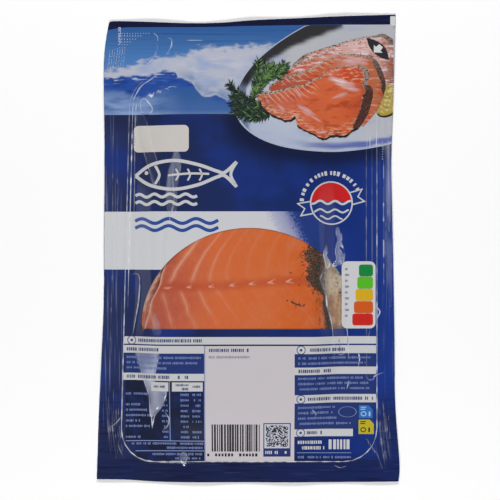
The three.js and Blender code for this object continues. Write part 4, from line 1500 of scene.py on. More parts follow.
# ---- The print ----
@dataclass
class SeaPicture:
    """A generic wave with spray across the top: sky, spray, dark wave face and paler sea in front."""

    waterline: float = 68.7
    crest: Line = ((-76, 91.2), (-64, 92), (-55, 95.6), (-44, 98), (-33, 99.2), (-23, 103.6), (-10, 103),
        (6, 104.6), (22, 104), (76, 104))
    spray_foot: Line = ((-76, 87.2), (-62, 88.4), (-52, 88.8), (-44, 91.4), (-37.5, 91), (-36.4, 87.6),
        (-29, 85.6), (-27.4, 82), (-23.3, 77.4), (-17, 78.8), (-11, 75.4), (76, 72))
    face_foot: Line = ((-76, 81), (-64, 79.4), (-55, 76.4), (-47, 79.8), (-38, 82.6), (-29, 82.4), (-23, 78.4),
        (-15, 74.6), (-6, 71.6), (76, 70))
    finish: Finish = Finish("print_sea_picture", ((0, "5874a8"), (0.05, "3a609c"), (0.2, "2f5895"),
        (0.42, "2a579d"), (0.56, "4f7db8"), (0.72, "4474b1"), (0.86, "3c68a2"), (1, "305c99")), (0, 68.7),
        (0, 113), (Layer("8da5ce", (0.2, 0.6), 0.85, grain=(16, 5), gate="near_shore"), Layer("24498b",
        (0.55, 0.66), 0.6, grain=(60, 0.7), gate="high_sky"), Layer("24489a", (-0.4, 2.2), 0.92, reads="face",
        grain=(6, 2.4), shift=4.5), Layer("15387c", (0.48, 0.66), 0.75, grain=(9, 3.2), gate="face_share"),
        Layer("4a70b4", (0.56, 0.7), 0.55, grain=(8, 1.3), gate="face_share"), Layer("b4b7c6", (-0.7, 0.9),
        0.97, reads="spray", grain=(4.5, 2), shift=3.6), Layer("8fa2c8", (0.42, 0.72), 0.75, grain=(15, 7),
        gate="spray_share"), Layer("c6c6ce", (0.5, 0.75), 0.5, grain=(12, 3), gate="spray_share"),
        Layer("5d7caa", (0.2, 0.62), 0.85, grain=(9, 4), gate="spray_low"), Layer("c0c9dd", (0.55, 0.64), 0.8,
        grain=(5, 0.9), gate="streaks"), WHITENED_AND_GLARE))

    def build(self) -> None:
        """Makes and dresses the picture, the dark strip above it and the pale corner tab."""
        strip_low = np.array([(-72.25, 112.6), (-67.5, 113.4), (-63, 113.85), (-30, 114), (-12, 114.2),
            (20, 115), (45, 115.3), (72.9, 115.4)])
        strip_high = WEB.edges[1] - [0.0, 0.12]
        strip_high = strip_high[(strip_high[:, 0] > -71.9) & (strip_high[:, 0] < 73.1)]
        navy = Finish("ink_midnight", "0f1434", layers=(Layer("1b2149", (0.5, 0.7), 0.6, grain=(14, 1.6)),))
        ink("print_top_strip", np.vstack([strip_low, strip_high[::-1]]), 0.09, navy)
        left, right = [edge[(edge[:, 1] > self.waterline) & (edge[:, 1] < top)] + [shift, 0.0] for edge, top,
            shift in ((WEB.edges[2], 112.5, 0.2), (WEB.edges[3], 115.3, -0.12))]
        corner = [(left[0, 0], self.waterline), (right[0, 0], self.waterline)]
        flat = WEB.cut(np.vstack([corner, right, strip_low[::-1], left[::-1]]))
        x, y = flat.points.T
        crest, foot, face = [np.interp(x, *np.array(line).T) for line in (self.crest, self.spray_foot,
            self.face_foot)]
        spray = np.minimum((crest - y) / 2.4 + 0.2, y - foot)
        body = np.minimum((y - face) * 0.8, foot - y + 1.5)
        ink("print_sea_picture", flat, 0.04, self.finish, spray=spray, face=body, spray_share=ease(0, 1.5,
            spray), face_share=ease(0.2, 2.0, body), high_sky=ease(98.0, 106.0, y), spray_low=ease(9.0, 1.0,
            y - foot) * ease(0.0, 1.5, spray) * ease(-40.0, -26.0, x), near_shore=ease(86.0, 72.0,
            y) * ease(-30.0, -58.0, x), streaks=np.exp(-(((y - foot + 0.6) / 1.9) ** 2)) * ease(-30.0, -46.0,
            x))
        tab = np.array([(73.0, 112.5), (75.4, 112.5), (75.65, 119.6), (73.0, 119.6)])
        ink("print_corner_tab", tab, 0.1, Finish("ink_tab_white", "cdcece"))


def fish_ink(name: str, base: Any, start: Point, end: Point, *patches: Layer) -> Finish:
    """A printed slice: its run of colour, its patches, pale threads, wet glints and speckled herb crust."""
    return Finish(name, base, start, end, patches + (Layer("d9a391", (0.34, 0.08), 0.8, reads="run",
        grain=(2.4, 2.4), shift=0.8, period=1.9, gate="threads"), Layer("cb9f9d", (0.25, 0.75), 0.85,
        reads="glint"), Layer("e6d6d6", (0.8, 1.35), 0.85, reads="glint"), Layer("a89b93", (0.3, -0.5), 0.9,
        reads="crust_gap", grain=(1.4, 1.1), shift=2.6), Layer("cbbdb4", (0.55, 0.63), 0.7, grain=(1.5, 0.8),
        gate="crust_share"), Layer("6b6a3e", (0.6, 0.66), 0.8, grain=(1.2, 1, 4), gate="crust_share"),
        Layer("3f302c", (0.54, 0.6), 0.95, grain=(1.1, 0.8), gate="crust_share"), Layer("40201d", (0.4, -0.4),
        0.95, reads="crust_gap", grain=(1.1, 1), shift=2, gate="crust_dark"), Layer("74503f", (0.58, 0.67), 0.6,
        grain=(1, 0.9, 7), gate="crust_edge")))


@dataclass(frozen=True)
class Slice:
    """One printed slice: its crusted side, its other side, its finish, the crust's breadth and its glints."""

    upper: Line
    lower: Line
    finish: Finish
    crust: tuple[tuple[float, float, float], ...]  # share of the crusted side, breadth, darkness
    threads: tuple[float, float, float] = (0.0, 0.0, 1.0)  # first and last share of the side, reach
    glints: tuple[tuple[float, ...], ...] = ()  # middle, half sizes, tilt, strength

    def values(self, x: Array, y: Array, number: int) -> dict[str, Array]:
        """Works out what the slice's finish reads.

        Args:
            x: their x.
            y: their y.
            number: the slice's number, which sets its unevenness.
        Returns:
            the values by name.
        """
        gap, _, run = distance_to(spline(self.upper, 90), x, y)
        shares, breadths, darkness = np.array(self.crust).T
        into = gap - np.interp(run, shares, breadths)
        share = ease(0.3, -0.2, into)
        first, last, reach = self.threads
        glint = np.zeros(x.shape)
        for cx, cy, long, tall, tilt, strength in self.glints:
            turn = math.radians(tilt)
            along = (x - cx) * math.cos(turn) + (y - cy) * math.sin(turn)
            across = (y - cy) * math.cos(turn) - (x - cx) * math.sin(turn)
            streak = 1 + 0.75 * wander(along, across, (4.5, 0.62), number)
            glint = np.maximum(glint, strength * np.exp(-((along / long) ** 2) - (across / tall) ** 2) * streak)
        return {"crust_gap": into, "crust_share": share, "crust_dark": np.interp(run, shares, darkness),
            "crust_edge": share * np.interp(run, shares, darkness), "run": run * 62.0 - 0.42 * gap,
            "glint": glint, "belly": ease(7.0, 0.5, distance_to(spline(self.lower, 90), x, y)[0]),
            "threads": ease(first, first + 0.04, run) * ease(last, last - 0.06, run) * ease(reach, 0.4 * reach,
            gap)}


REAR = Slice(((22.7, 94.6), (25.3, 96.9), (28.7, 99.7), (34.2, 101.8), (41, 103.8), (48.7, 106.2),
    (57.3, 108.6), (62.4, 109.3), (65.8, 109.8), (69.6, 110.5), (74.8, 107.6)), ((22.7, 93.6), (34.2, 94),
    (46.2, 94.6), (59, 94.6), (74.8, 91.4)), fish_ink("print_fish_rear", ((0, "b1553c"), (0.2, "c07e70"),
    (0.5, "d6aba4"), (0.8, "d6b1ac"), (1, "a06c5a")), (26, 100), (75, 100), Layer("a5452f", (0.55, 0.66), 0.8,
    grain=(6, 1.5)), Layer("dcc6c8", (0.48, 0.62), 0.8, grain=(6, 1.1)), Layer("5a3a30", (0.59, 0.65), 0.85,
    grain=(1.1, 0.9))), ((0, 1, 0.1), (0.12, 2, 0.5), (0.2, 1, 0), (0.75, 1.1, 0.1), (0.84, 1.4, 0.4),
    (1, 3, 0.6)))
SECOND = Slice(((15.9, 88.7), (19.3, 91.4), (23.1, 94.1), (29.1, 96.5), (34.2, 98.2), (38.4, 100.3),
    (42.8, 102.5), (49.6, 104.5), (58.1, 105.2), (68.4, 104.2), (74.8, 100.8)), ((15.9, 87.4), (22.4, 88.4),
    (31, 91), (46.2, 94), (61.5, 91.4), (74.8, 82.9)), fish_ink("print_fish_second", ((0, "b2563e"),
    (0.3, "ca7058"), (0.5, "cc968c"), (0.72, "d8bcb8"), (0.88, "bc8e84"), (1, "85543f")), (16, 98), (75, 98),
    Layer("ad4125", (0.52, 0.64), 0.8, grain=(5, 1.8)), Layer("dcc6c8", (0.5, 0.63), 0.85, grain=(7, 1.3)),
    Layer("5a3a30", (0.6, 0.66), 0.85, grain=(1.1, 0.8))), ((0, 0.8, 0), (0.5, 0.7, 0), (0.56, -1, 0),
    (1, -1, 0)), (0.02, 0.3, 3), ((54.7, 102, 9, 1.8, 4, 0.9),))
THIRD = Slice(((10.5, 83.5), (15.9, 87), (20.6, 88.7), (26.5, 90.7), (31.7, 92.9), (36.8, 95.2), (41, 98),
    (46.2, 99.7), (53, 100.2), (59, 99.7), (63.7, 98.4), (66.6, 95.7), (69, 90.5), (70.6, 84.6), (69.7, 79.4),
    (67.1, 72.6), (63.7, 67.9), (59, 62.7)), ((10.5, 81.6), (15, 79.6), (22, 81.6), (31, 83.6), (41, 86.6),
    (51.3, 86.3), (59, 81.2), (59.8, 72.6), (57.9, 63.1)), fish_ink("print_fish_third", ((0, "a04c38"),
    (0.22, "a85440"), (0.4, "bd5a38"), (0.56, "bd6a4c"), (0.72, "c19388"), (0.86, "b5603c"), (0.93, "a9694a"),
    (1, "8e5a42")), (10, 84), (71, 84), Layer("b2401f", (0.5, 0.66), 0.8, grain=(6, 2.2)), Layer("cf9c8c",
    (0.55, 0.68), 0.7, grain=(5, 1.4))), ((0, 0.8, 0), (0.1, 1.2, 0.2), (0.3, 1, 0), (0.48, 0.9, 0.1),
    (0.56, 1.4, 0.3), (0.62, 2.6, 0.75), (0.7, 2.6, 0.9), (0.78, 2, 1), (0.8, 0.4, 1), (0.83, -1, 0),
    (1, -1, 0)), (0.04, 0.4, 4.6), ((55.4, 96.8, 7, 1.9, -4, 1), (46, 97.2, 4, 1, 12, 0.7), (63, 88, 3, 1, 60,
    0.5)))
FOURTH = Slice(((34.2, 87), (39.3, 89.9), (44.5, 92.6), (49.6, 94.1), (55.6, 94.1), (60, 93.1), (62, 90.4),
    (61.5, 85.2)), ((34.2, 86.1), (41, 87.1), (49.6, 85.8), (56.4, 84.2), (61.2, 83.9)),
    fish_ink("print_fish_fourth", ((0, "c67c66"), (0.35, "c8654a"), (0.55, "c04a24"), (0.85, "bc4a26"),
    (1, "8a4a2c")), (34, 88), (62, 88), Layer("dba08c", (0.5, 0.64), 0.75, grain=(3.6, 1.2))),
    ((0, 0.4, 0), (0.3, 0.6, 0), (0.6, 0.7, 0), (0.76, 2.6, 0.3), (0.9, 3, 0.35), (1, 2.2, 0.2)), (0.1, 0.4, 2))
FRONT = Slice(((4.5, 79.3), (7.8, 80.5), (12, 80.7), (18, 82), (23.1, 83.4), (29.1, 84.6), (32.9, 86.8),
    (37.6, 88.3), (41.9, 88.7), (47, 87.3), (53, 85.4), (59, 84.4), (63.2, 83), (63.9, 78.6), (62.5, 72.6),
    (60.8, 67.9), (57.1, 62.2)), ((4.5, 78.4), (5.4, 75.6), (7.3, 72.6), (9.9, 69.9), (12.9, 68), (16.3, 66.5),
    (20.6, 65.6), (23.5, 67.5), (24.3, 65.5), (24.8, 63.1), (29.1, 60.5), (34.2, 58.1), (38.9, 56.7),
    (41.9, 58.1), (45.3, 58.3), (49.6, 58.1), (53.4, 61), (56.4, 62.2)), fish_ink("print_fish_front",
    ((0, "a0523b"), (0.14, "bb5f45"), (0.34, "c66245"), (0.5, "c85c37"), (0.64, "cb623b"), (0.8, "c35833"),
    (1, "a84a2e")), (4.5, 76), (63.5, 76), Layer("9d3416", (0.5, 0.68), 0.65, grain=(9, 4)), Layer("cc6a3e",
    (0.53, 0.68), 0.7, grain=(8, 3)), Layer("d8a58a", (0.46, 0.6), 0.85, grain=(3.6, 0.8), gate="belly"),
    Layer("7c3a26", (0.53, 0.64), 0.8, grain=(2.4, 1.2), gate="belly")), ((0, 0.8, 0.1), (0.06, 1.5, 0),
    (0.2, 1.1, 0.1), (0.34, 0.9, 0), (0.4, 0.6, 0), (0.45, -1, 0), (0.66, -1, 0), (0.7, 3.4, 0.9), (0.78, 5, 1),
    (0.9, 4.6, 1), (1, 3.4, 1)), (0.02, 0.4, 9), ((47.9, 85.6, 9.5, 2.5, -15, 0.9), (53, 82, 6.5, 1.4, -10,
    0.7), (47.8, 78.8, 7.5, 1.8, 20, 0.5), (30, 70.4, 7.5, 2.3, -30, 0.6), (35, 66.2, 5, 1.2, -30, 0.5),
    (17, 71.5, 4, 1.6, -50, 0.5), (25.6, 80, 4, 0.9, -55, 0.6), (38, 59.6, 3.5, 0.9, 10, 0.7),
    (52, 74, 6, 3, 60, 0.26)))


@dataclass
class ServingPlate:
    """A generic plate of sliced fish with sprigs and lemon, printed in simple shapes."""

    centre: Point = (71.3, 91.5)
    half: Point = (81.2, 37.2)
    tilt: float = 15.6
    right: float = 74.6
    fine: float = 0.45
    dish: Line = ((-5.9, 80.3), (-2.9, 83.3), (0.9, 87.6), (4.4, 92.2), (8.8, 96.9), (14.6, 100.4),
        (20.6, 103.8), (29.1, 107.4), (39.3, 111.4), (47.4, 114.9))
    left_stalks: tuple[Line, ...] = (((6.5, 73), (0.1, 76), (-5.9, 80.3), (-9.5, 84.4)),
        ((5.6, 72.4), (-0.8, 72.6), (-5.5, 71.3), (-8.3, 74.3)), ((8.8, 70.5), (2.6, 69), (-2.9, 68.2),
        (-6.6, 69.4)), ((10.8, 68.2), (5.6, 66.8), (-0.8, 66.8)), ((7, 71.6), (0.8, 70.8), (-4.6, 74.6),
        (-8.4, 78.4)))
    upper_stalks: tuple[Line, ...] = (((2.6, 76.4), (3.5, 84.6), (4.8, 89.7), (5.4, 96.1)),
        ((3.9, 79.2), (8.6, 87), (14, 91), (18.4, 95)), ((5.6, 84.3), (10.3, 91.4), (13.1, 94.1)),
        ((7.8, 86.2), (13.1, 88.8), (16.7, 89.9), (18.7, 92.7)), ((3.4, 80), (5.4, 85.8), (8.6, 90), (9, 94.4)))
    glaze: Finish = Finish("print_plate_glaze", ((0, "a2adc9"), (0.3, "b2bacb"), (0.7, "b3b4bb"),
        (1, "b2b3ba")), (0, 50), (36, 110), (Layer("8f9cc4", (0.5, 0.7), 0.5, grain=(22, 7)), Layer("5060a6",
        (0, 1), 0.9, reads="rim_band"), Layer("4f5f80", (0.35, 0.75), 0.8, reads="left_rim", grain=(5, 7),
        shift=0.6), Layer("232226", (0, 1), 0.97, reads="dish_shade"), Layer("d5dae6", (0.56, 0.68), 0.7,
        grain=(0.6, 30), gate="sheen")))

    def ring(self, scale: float) -> Array:
        """An ellipse of the plate, cut off at the film's right and upper edges."""
        loop = ellipse(self.centre, (self.half[0] * scale, self.half[1] * scale), self.tilt, count=200)
        right = np.interp(loop[:, 1], WEB.edges[3][:, 1], WEB.edges[3][:, 0]) - 0.15
        loop[:, 0] = np.minimum(loop[:, 0], right)
        loop[:, 1] = np.minimum(loop[:, 1], 114.6 + 0.01 * loop[:, 0])
        return loop

    def build(self) -> None:
        """Makes and dresses the plate and what lies on it."""
        ink("print_plate_edge", self.ring(1.0), 0.08, Finish("ink_plate_edge", "aab1c4"))
        flat = WEB.cut(self.ring(0.989))
        x, y = flat.points.T
        angle = math.radians(self.tilt)
        dx, dy = x - self.centre[0], y - self.centre[1]
        u = (dx * math.cos(angle) + dy * math.sin(angle)) / self.half[0]
        v = (-dx * math.sin(angle) + dy * math.cos(angle)) / self.half[1]
        radius = np.hypot(u, v)
        gap, side, run = distance_to(spline(self.dish, 60), x, y)
        shade = ease(-3.0, 0.6, gap * side + 0.6 * wander(x, y, (5.0, 4.0), 4))
        shade = shade * ease(-0.02, 0.14, run)
        band = ease(0.875, 0.91, radius) * ease(0.98, 0.955, radius) * ease(10.0, 50.0, x)
        band = band * ease(80.0, 70.0, y)
        left_rim = ease(6.0, -4.0, x) * ease(0.9, 0.95, radius)
        sheen = ease(60.0, 62.0, x) * ease(72.0, 66.0, y)
        ink("print_plate", flat, 0.1, self.glaze, dish_shade=shade, rim_band=band, left_rim=left_rim,
            sheen=sheen)
        self.slices()
        self.sprigs()
        self.lemon()

    def slices(self) -> None:
        """Fans the printed slices over the plate, back to front, each with its herb crust."""
        for number, item in enumerate((REAR, SECOND, THIRD, FOURTH, FRONT)):
            upper, lower = spline(item.upper, 90), spline(item.lower, 90)
            lower[:, 1] += 0.45 * wander(lower[:, 0], lower[:, 0], (2.0, 2.0), number) * np.sin(np.linspace(0,
                np.pi, 90))
            loop = np.vstack([lower, upper[::-1]])
            loop[:, 0] = np.minimum(loop[:, 0], self.right)
            lift = 0.15 + 0.035 * number
            if item is FRONT:
                drop = 0.75 + 0.9 * np.abs(wander(lower[:, 0], lower[:, 0], (3.1, 3.1), 8))
                shadow = np.vstack([lower - stacked(-0.3 * drop, drop), lower[::-1] + [0.0, 0.5]])
                ink("print_slice_shadow", shadow, lift - 0.018, Finish("print_slice_shadow", "251f25"))
            low, high = loop.min(axis=0), loop.max(axis=0)
            flat = WEB.cut(loop, step=self.fine, lattice=tile(*low, *high, self.fine).points)
            ink(f"print_slice_{number}", flat, lift, item.finish, **item.values(*flat.points.T, number))

    def sprigs(self) -> None:
        """Draws the herb sprigs on the plate's left rim: bushy stalks with needles on both sides."""
        random = np.random.default_rng(9)
        greens = [Finish("print_herb_" + name, code) for name, code in (("dark", "17211e"), ("mid", "263a2d"),
            ("light", "3c5937"), ("bright", "668549"))]
        groups: list[list[Flat]] = [[], [], [], []]
        beds = []
        for stalks, breadth, mix in ((self.left_stalks, 2.3, (0.62, 0.27, 0.09, 0.02)), (self.upper_stalks, 1.5,
                (0.22, 0.34, 0.3, 0.14))):
            for number, stalk in enumerate(stalks):
                line = spline(stalk, 58)
                run = np.linspace(0.0, 1.0, 58)
                width = breadth * (1 - 0.6 * run) + 0.6 * wander(run, run, (0.07, 0.07), number)
                beds.append(ribbon(line, np.maximum(width, 0.3)))
                for spot, way in zip(line, np.gradient(line, axis=0)):
                    for side in (-1.0, 1.0):
                        lean = math.atan2(way[1], way[0]) + side * random.uniform(0.3, 1.15)
                        tip = spot + random.uniform(1.8, 4.2) * np.array([math.cos(lean), math.sin(lean)])
                        across = 0.26 * np.array([-math.sin(lean), math.cos(lean)])
                        shape = np.array([spot, (spot + tip) / 2 - across, tip, (spot + tip) / 2 + across])
                        groups[int(random.choice(4, p=mix))].append(Flat(shape, np.array([[0, 1, 2, 3]])))
        ink("print_sprig_bed", beds, 0.32, greens[0], 0.5)
        for number, (flats, finish) in enumerate(zip(groups, greens)):
            ink(f"print_sprigs_{number}", flats, 0.34 + 0.02 * number, finish)

    def lemon(self) -> None:
        """Draws two lemon wedges at the plate's right edge."""
        flesh = Finish("print_lemon_flesh", "ab9550", layers=(Layer("c9bf84", (0.5, 0.62), grain=(1.8, 1.2)),
            Layer("8f7428", (0.58, 0.68), grain=(2.4, 2))))
        groups: tuple[list[Array], ...] = ([], [], [])
        for centre, half, tilt in (((71.4, 73.6), (6.8, 4.6), 32.0), ((73.2, 80.8), (5.6, 4.0), 66.0)):
            for group, scale, shift in zip(groups, (1.0, 1.0, 0.84), ((0.4, -1.0), (0.0, 0.0), (0.0, 0.2))):
                loop = ellipse(np.add(centre, shift), (half[0] * scale, half[1] * scale), tilt, count=60)
                loop[:, 0] = np.minimum(loop[:, 0], 74.3)
                group.append(loop)
        finishes = (Finish("print_lemon_shadow", "2c2b2c"), Finish("print_lemon_rind", "a8932f"), flesh)
        for number, (group, finish) in enumerate(zip(groups, finishes)):
            ink(f"print_lemon_{number}", group, 0.12 + 0.012 * number, finish, 0.5)


@dataclass
class TitleBlock:
    """The white band, and the plain label, fish figure and waves where a title would stand."""

    band: tuple[float, float, float] = (-10.8, 18.9, 39.0)  # foot, top and right end
    fade_way: Point = (0.904, 0.428)
    label: tuple[float, ...] = (-59.0, 49.3, -30.4, 63.0)

    def build(self) -> None:
        """Makes and dresses each field."""
        foot, top, right = self.band
        edge, arc = WEB.edges[2], TopWeb().window()
        side = edge[(edge[:, 1] < top) & (edge[:, 1] > foot)] + [0.2, 0.0]
        arc = arc[(arc[:, 1] > foot + 0.05) & (arc[:, 0] < right)]
        arc = arc[np.argsort(arc[:, 0])]
        flat = WEB.cut(np.vstack([side, [(side[-1, 0], top), (right, top)], arc[::-1], [(arc[0, 0], foot),
            (side[0, 0], foot)]]))
        axis = np.array(self.fade_way)
        fade = flat.points @ axis
        band = Finish("print_white_band", ((0, "cbccd0"), (0.8, "c8c9ce"), (0.85, "b6b8c6"), (0.9, "8087ae"),
            (0.94, "3d508f"), (0.965, "1c3578"), (1, "173072")), tuple(-60 * axis), tuple(34 * axis),
            (Layer("22397c", (27.2, 29.8), reads="fade", grain=(0.9, 0.9), shift=26), Layer("9a9cbc",
            (20, 16.5), 0.6, reads="speckle", grain=(0.8, 0.8), shift=14)))
        ink("print_white_band", flat, 0.04, band, fade=fade, speckle=np.abs(fade - 21) + 15)
        ink("print_label", rounded(*self.label, 2.4), 0.06, Finish("ink_label", "c9c4c0"))
        self.fish()
        for name, rows, right, width, length, rise, lift, finish in (("title", (27.0, 23.2), -26.2, 1.5, 8.0,
                0.8, 0.06, INK_WHITE), ("band", (14.0, 10.4), -15.4, 1.7, 14.0, 1.2, 0.08, INK_BLUE)):
            x = np.linspace(-58.0 if name == "title" else -58.2, right, 120)
            waves = [ribbon(stacked(x, y + rise * np.sin((x - x[0]) * 2 * np.pi / length)), width)
                for y in rows]
            ink(f"print_{name}_waves", waves, lift, finish, 0.5)

    @staticmethod
    def fish() -> None:
        """Draws a plain fish in line: body, forked tail, gill, fins and eye."""
        strokes = [(((-58, 37.2), (-50, 42.6), (-38, 44.8), (-26, 42.8), (-16, 39.4), (-12, 38.8), (-6, 44.2)),
            90, 1.7), (((-58, 37.2), (-50, 32.2), (-38, 30.2), (-26, 32.4), (-16, 36.4), (-12, 37), (-6, 31.4)),
            90, 1.7), (((-6, 44.2), (-9, 37.8), (-6, 31.4)), 30, 1.5), (((-47.6, 42.2), (-45.4, 37.4),
            (-47.6, 32.8)), 30, 1.3), (((-41, 37.2), (-30, 38.2), (-20, 38)), 40, 1.1)]
        strokes += [(((x, 40.6), (x + 1.3, 37.6), (x, 34.6)), 20, 0.9) for x in (-37, -31, -25)]
        lines: list[Any] = [ribbon(spline(line, count), width) for line, count, width in strokes]
        eye = WEB.cut(ellipse((-52.2, 38.6), (1, 1), count=20), step=0.4)
        ink("print_title_fish", lines + [eye], 0.06, INK_WHITE, 0.5)


@dataclass
class RoundBadge:
    """A generic round badge: red sun over blue and white waves, a ribbon behind, dashes above."""

    centre: Point = (42.5, 23.3)
    radius: float = 11.2
    ring: float = 0.75
    ribbon_tilt: float = 13.0
    seed: int = 4

    def build(self) -> None:
        """Makes and dresses the badge."""
        cx, cy = self.centre
        blue = Finish("ink_badge_blue", "17337c")
        turn = math.radians(self.ribbon_tilt)
        spin = np.array([(math.cos(turn), math.sin(turn)), (-math.sin(turn), math.cos(turn))])
        for name, tail, lift, finish in (("badge_ribbon_edge", ((9, -3.6), (17.6, -3.2), (14.6, 0.2),
                (17.8, 3.8), (9, 3.4)), 0.06, INK_WHITE), ("badge_ribbon", ((9, -2.9), (16.2, -2.6),
                (13.7, 0.2), (16.4, 3.1), (9, 2.7)), 0.08, blue)):
            ink(name, [(np.array(tail) * [side, 1.0]) @ spin + [cx, cy] for side in (-1, 1)], lift, finish, 0.5)
        inner = self.radius - self.ring
        ink("badge_ring", self.arc(self.radius), 0.1, INK_WHITE)
        ink("badge_field", self.arc(inner), 0.12, blue)
        start = math.degrees(math.asin(0.8 / inner))
        ink("badge_sun", self.arc(inner, start, 180 - start, 80), 0.14, Finish("ink_red", "c41f22"), 0.5)
        waves = []
        for drop, width in ((0.3, 1.1), (-4.0, 0.9), (-7.4, 0.8)):
            reach = math.sqrt(inner**2 - (abs(drop) + 1.2) ** 2)
            x = np.linspace(-reach, reach, 60)
            waves.append(ribbon(stacked(cx + x, cy + drop + 0.8 * np.sin(x * 0.8)), width))
        ink("badge_waves", waves, 0.16, INK_WHITE, 0.5)
        random = np.random.default_rng(self.seed)
        dashes, angle = [], 24.0
        while angle < 176.0:
            length = random.uniform(3.4, 6.4)
            dashes.append(ribbon(self.arc(self.radius + 4.2, angle, angle + length, 8), random.uniform(1.5,
                2.3)))
            angle += length + random.choice((2.4, 2.4, 6.0))
        ink("badge_dashes", dashes, 0.06, INK_WHITE, 0.4)

    def arc(self, radius: float, start: float = 0.0, end: float = 360.0, count: int = 96) -> Array:
        """Points round the badge's middle from one angle to another."""
        return ellipse(self.centre, (radius, radius), 0.0, start, end, count)


@dataclass
class GradeLabel:
    """A white label with a generic scale of growing colour bars and grey ticks."""

    box: tuple[float, ...] = (47.9, -41.1, 65.3, -6.6)
    pitch: float = 6.3
    bar: float = 6.0
    margin: float = 1.3
    shortest: float = 7.2
    growth: float = 0.85
    colours: tuple[tuple[str, str], ...] = (("green", "15803c"), ("lime", "55b324"), ("amber", "d0a51e"),
        ("orange", "c8581f"), ("red", "c2261f"))

    def build(self) -> None:
        """Makes and dresses the label."""
        x0, _, x1, y1 = self.box
        ink("grade_label", rounded(*self.box, 2.8), 0.1, Finish("ink_label_white", "c9c9cc"), 0.8)
        for number, (name, code) in enumerate(self.colours):
            high, right = y1 - 1.7 - self.pitch * number, x1 - self.margin
            bar = rounded(right - self.shortest - self.growth * number, high - self.bar, right, high, 1.3)
            ink(f"grade_bar_{number}", bar, 0.2, Finish("ink_grade_" + name, code), 0.5)
        ticks = [rounded(x0 + 1.7, y1 - 4.6 - 3 * number, x0 + 3.1 + 0.7 * (number % 2), y1 - 3.4 - 3 * number,
            0.3) for number in range(9)]
        ink("grade_ticks", ticks, 0.13, INK_GREY, 0.4)


class TypeSize(Enum):
    """Sizes of set strokes: height, least and most width, least and most gap, share left blank, unevenness."""

    SMALL = (1.4, 0.28, 0.7, 0.17, 0.28, 0.1, 0.45)
    HEAD = (1.75, 0.35, 0.95, 0.26, 0.42, 0.12, 0.15)
    BOLD = (1.8, 0.4, 1.0, 0.28, 0.45, 0.1, 0.12)
    WEIGHT = (5.0, 0.9, 1.6, 0.5, 0.8, 0.0, 0.0)
    TICKS = (1.7, 0.9, 1.3, 0.5, 0.7, 0.0, 0.3)
    BARS = (14.4, 0.3, 1.15, 0.24, 0.72, 0.0, 0.0)


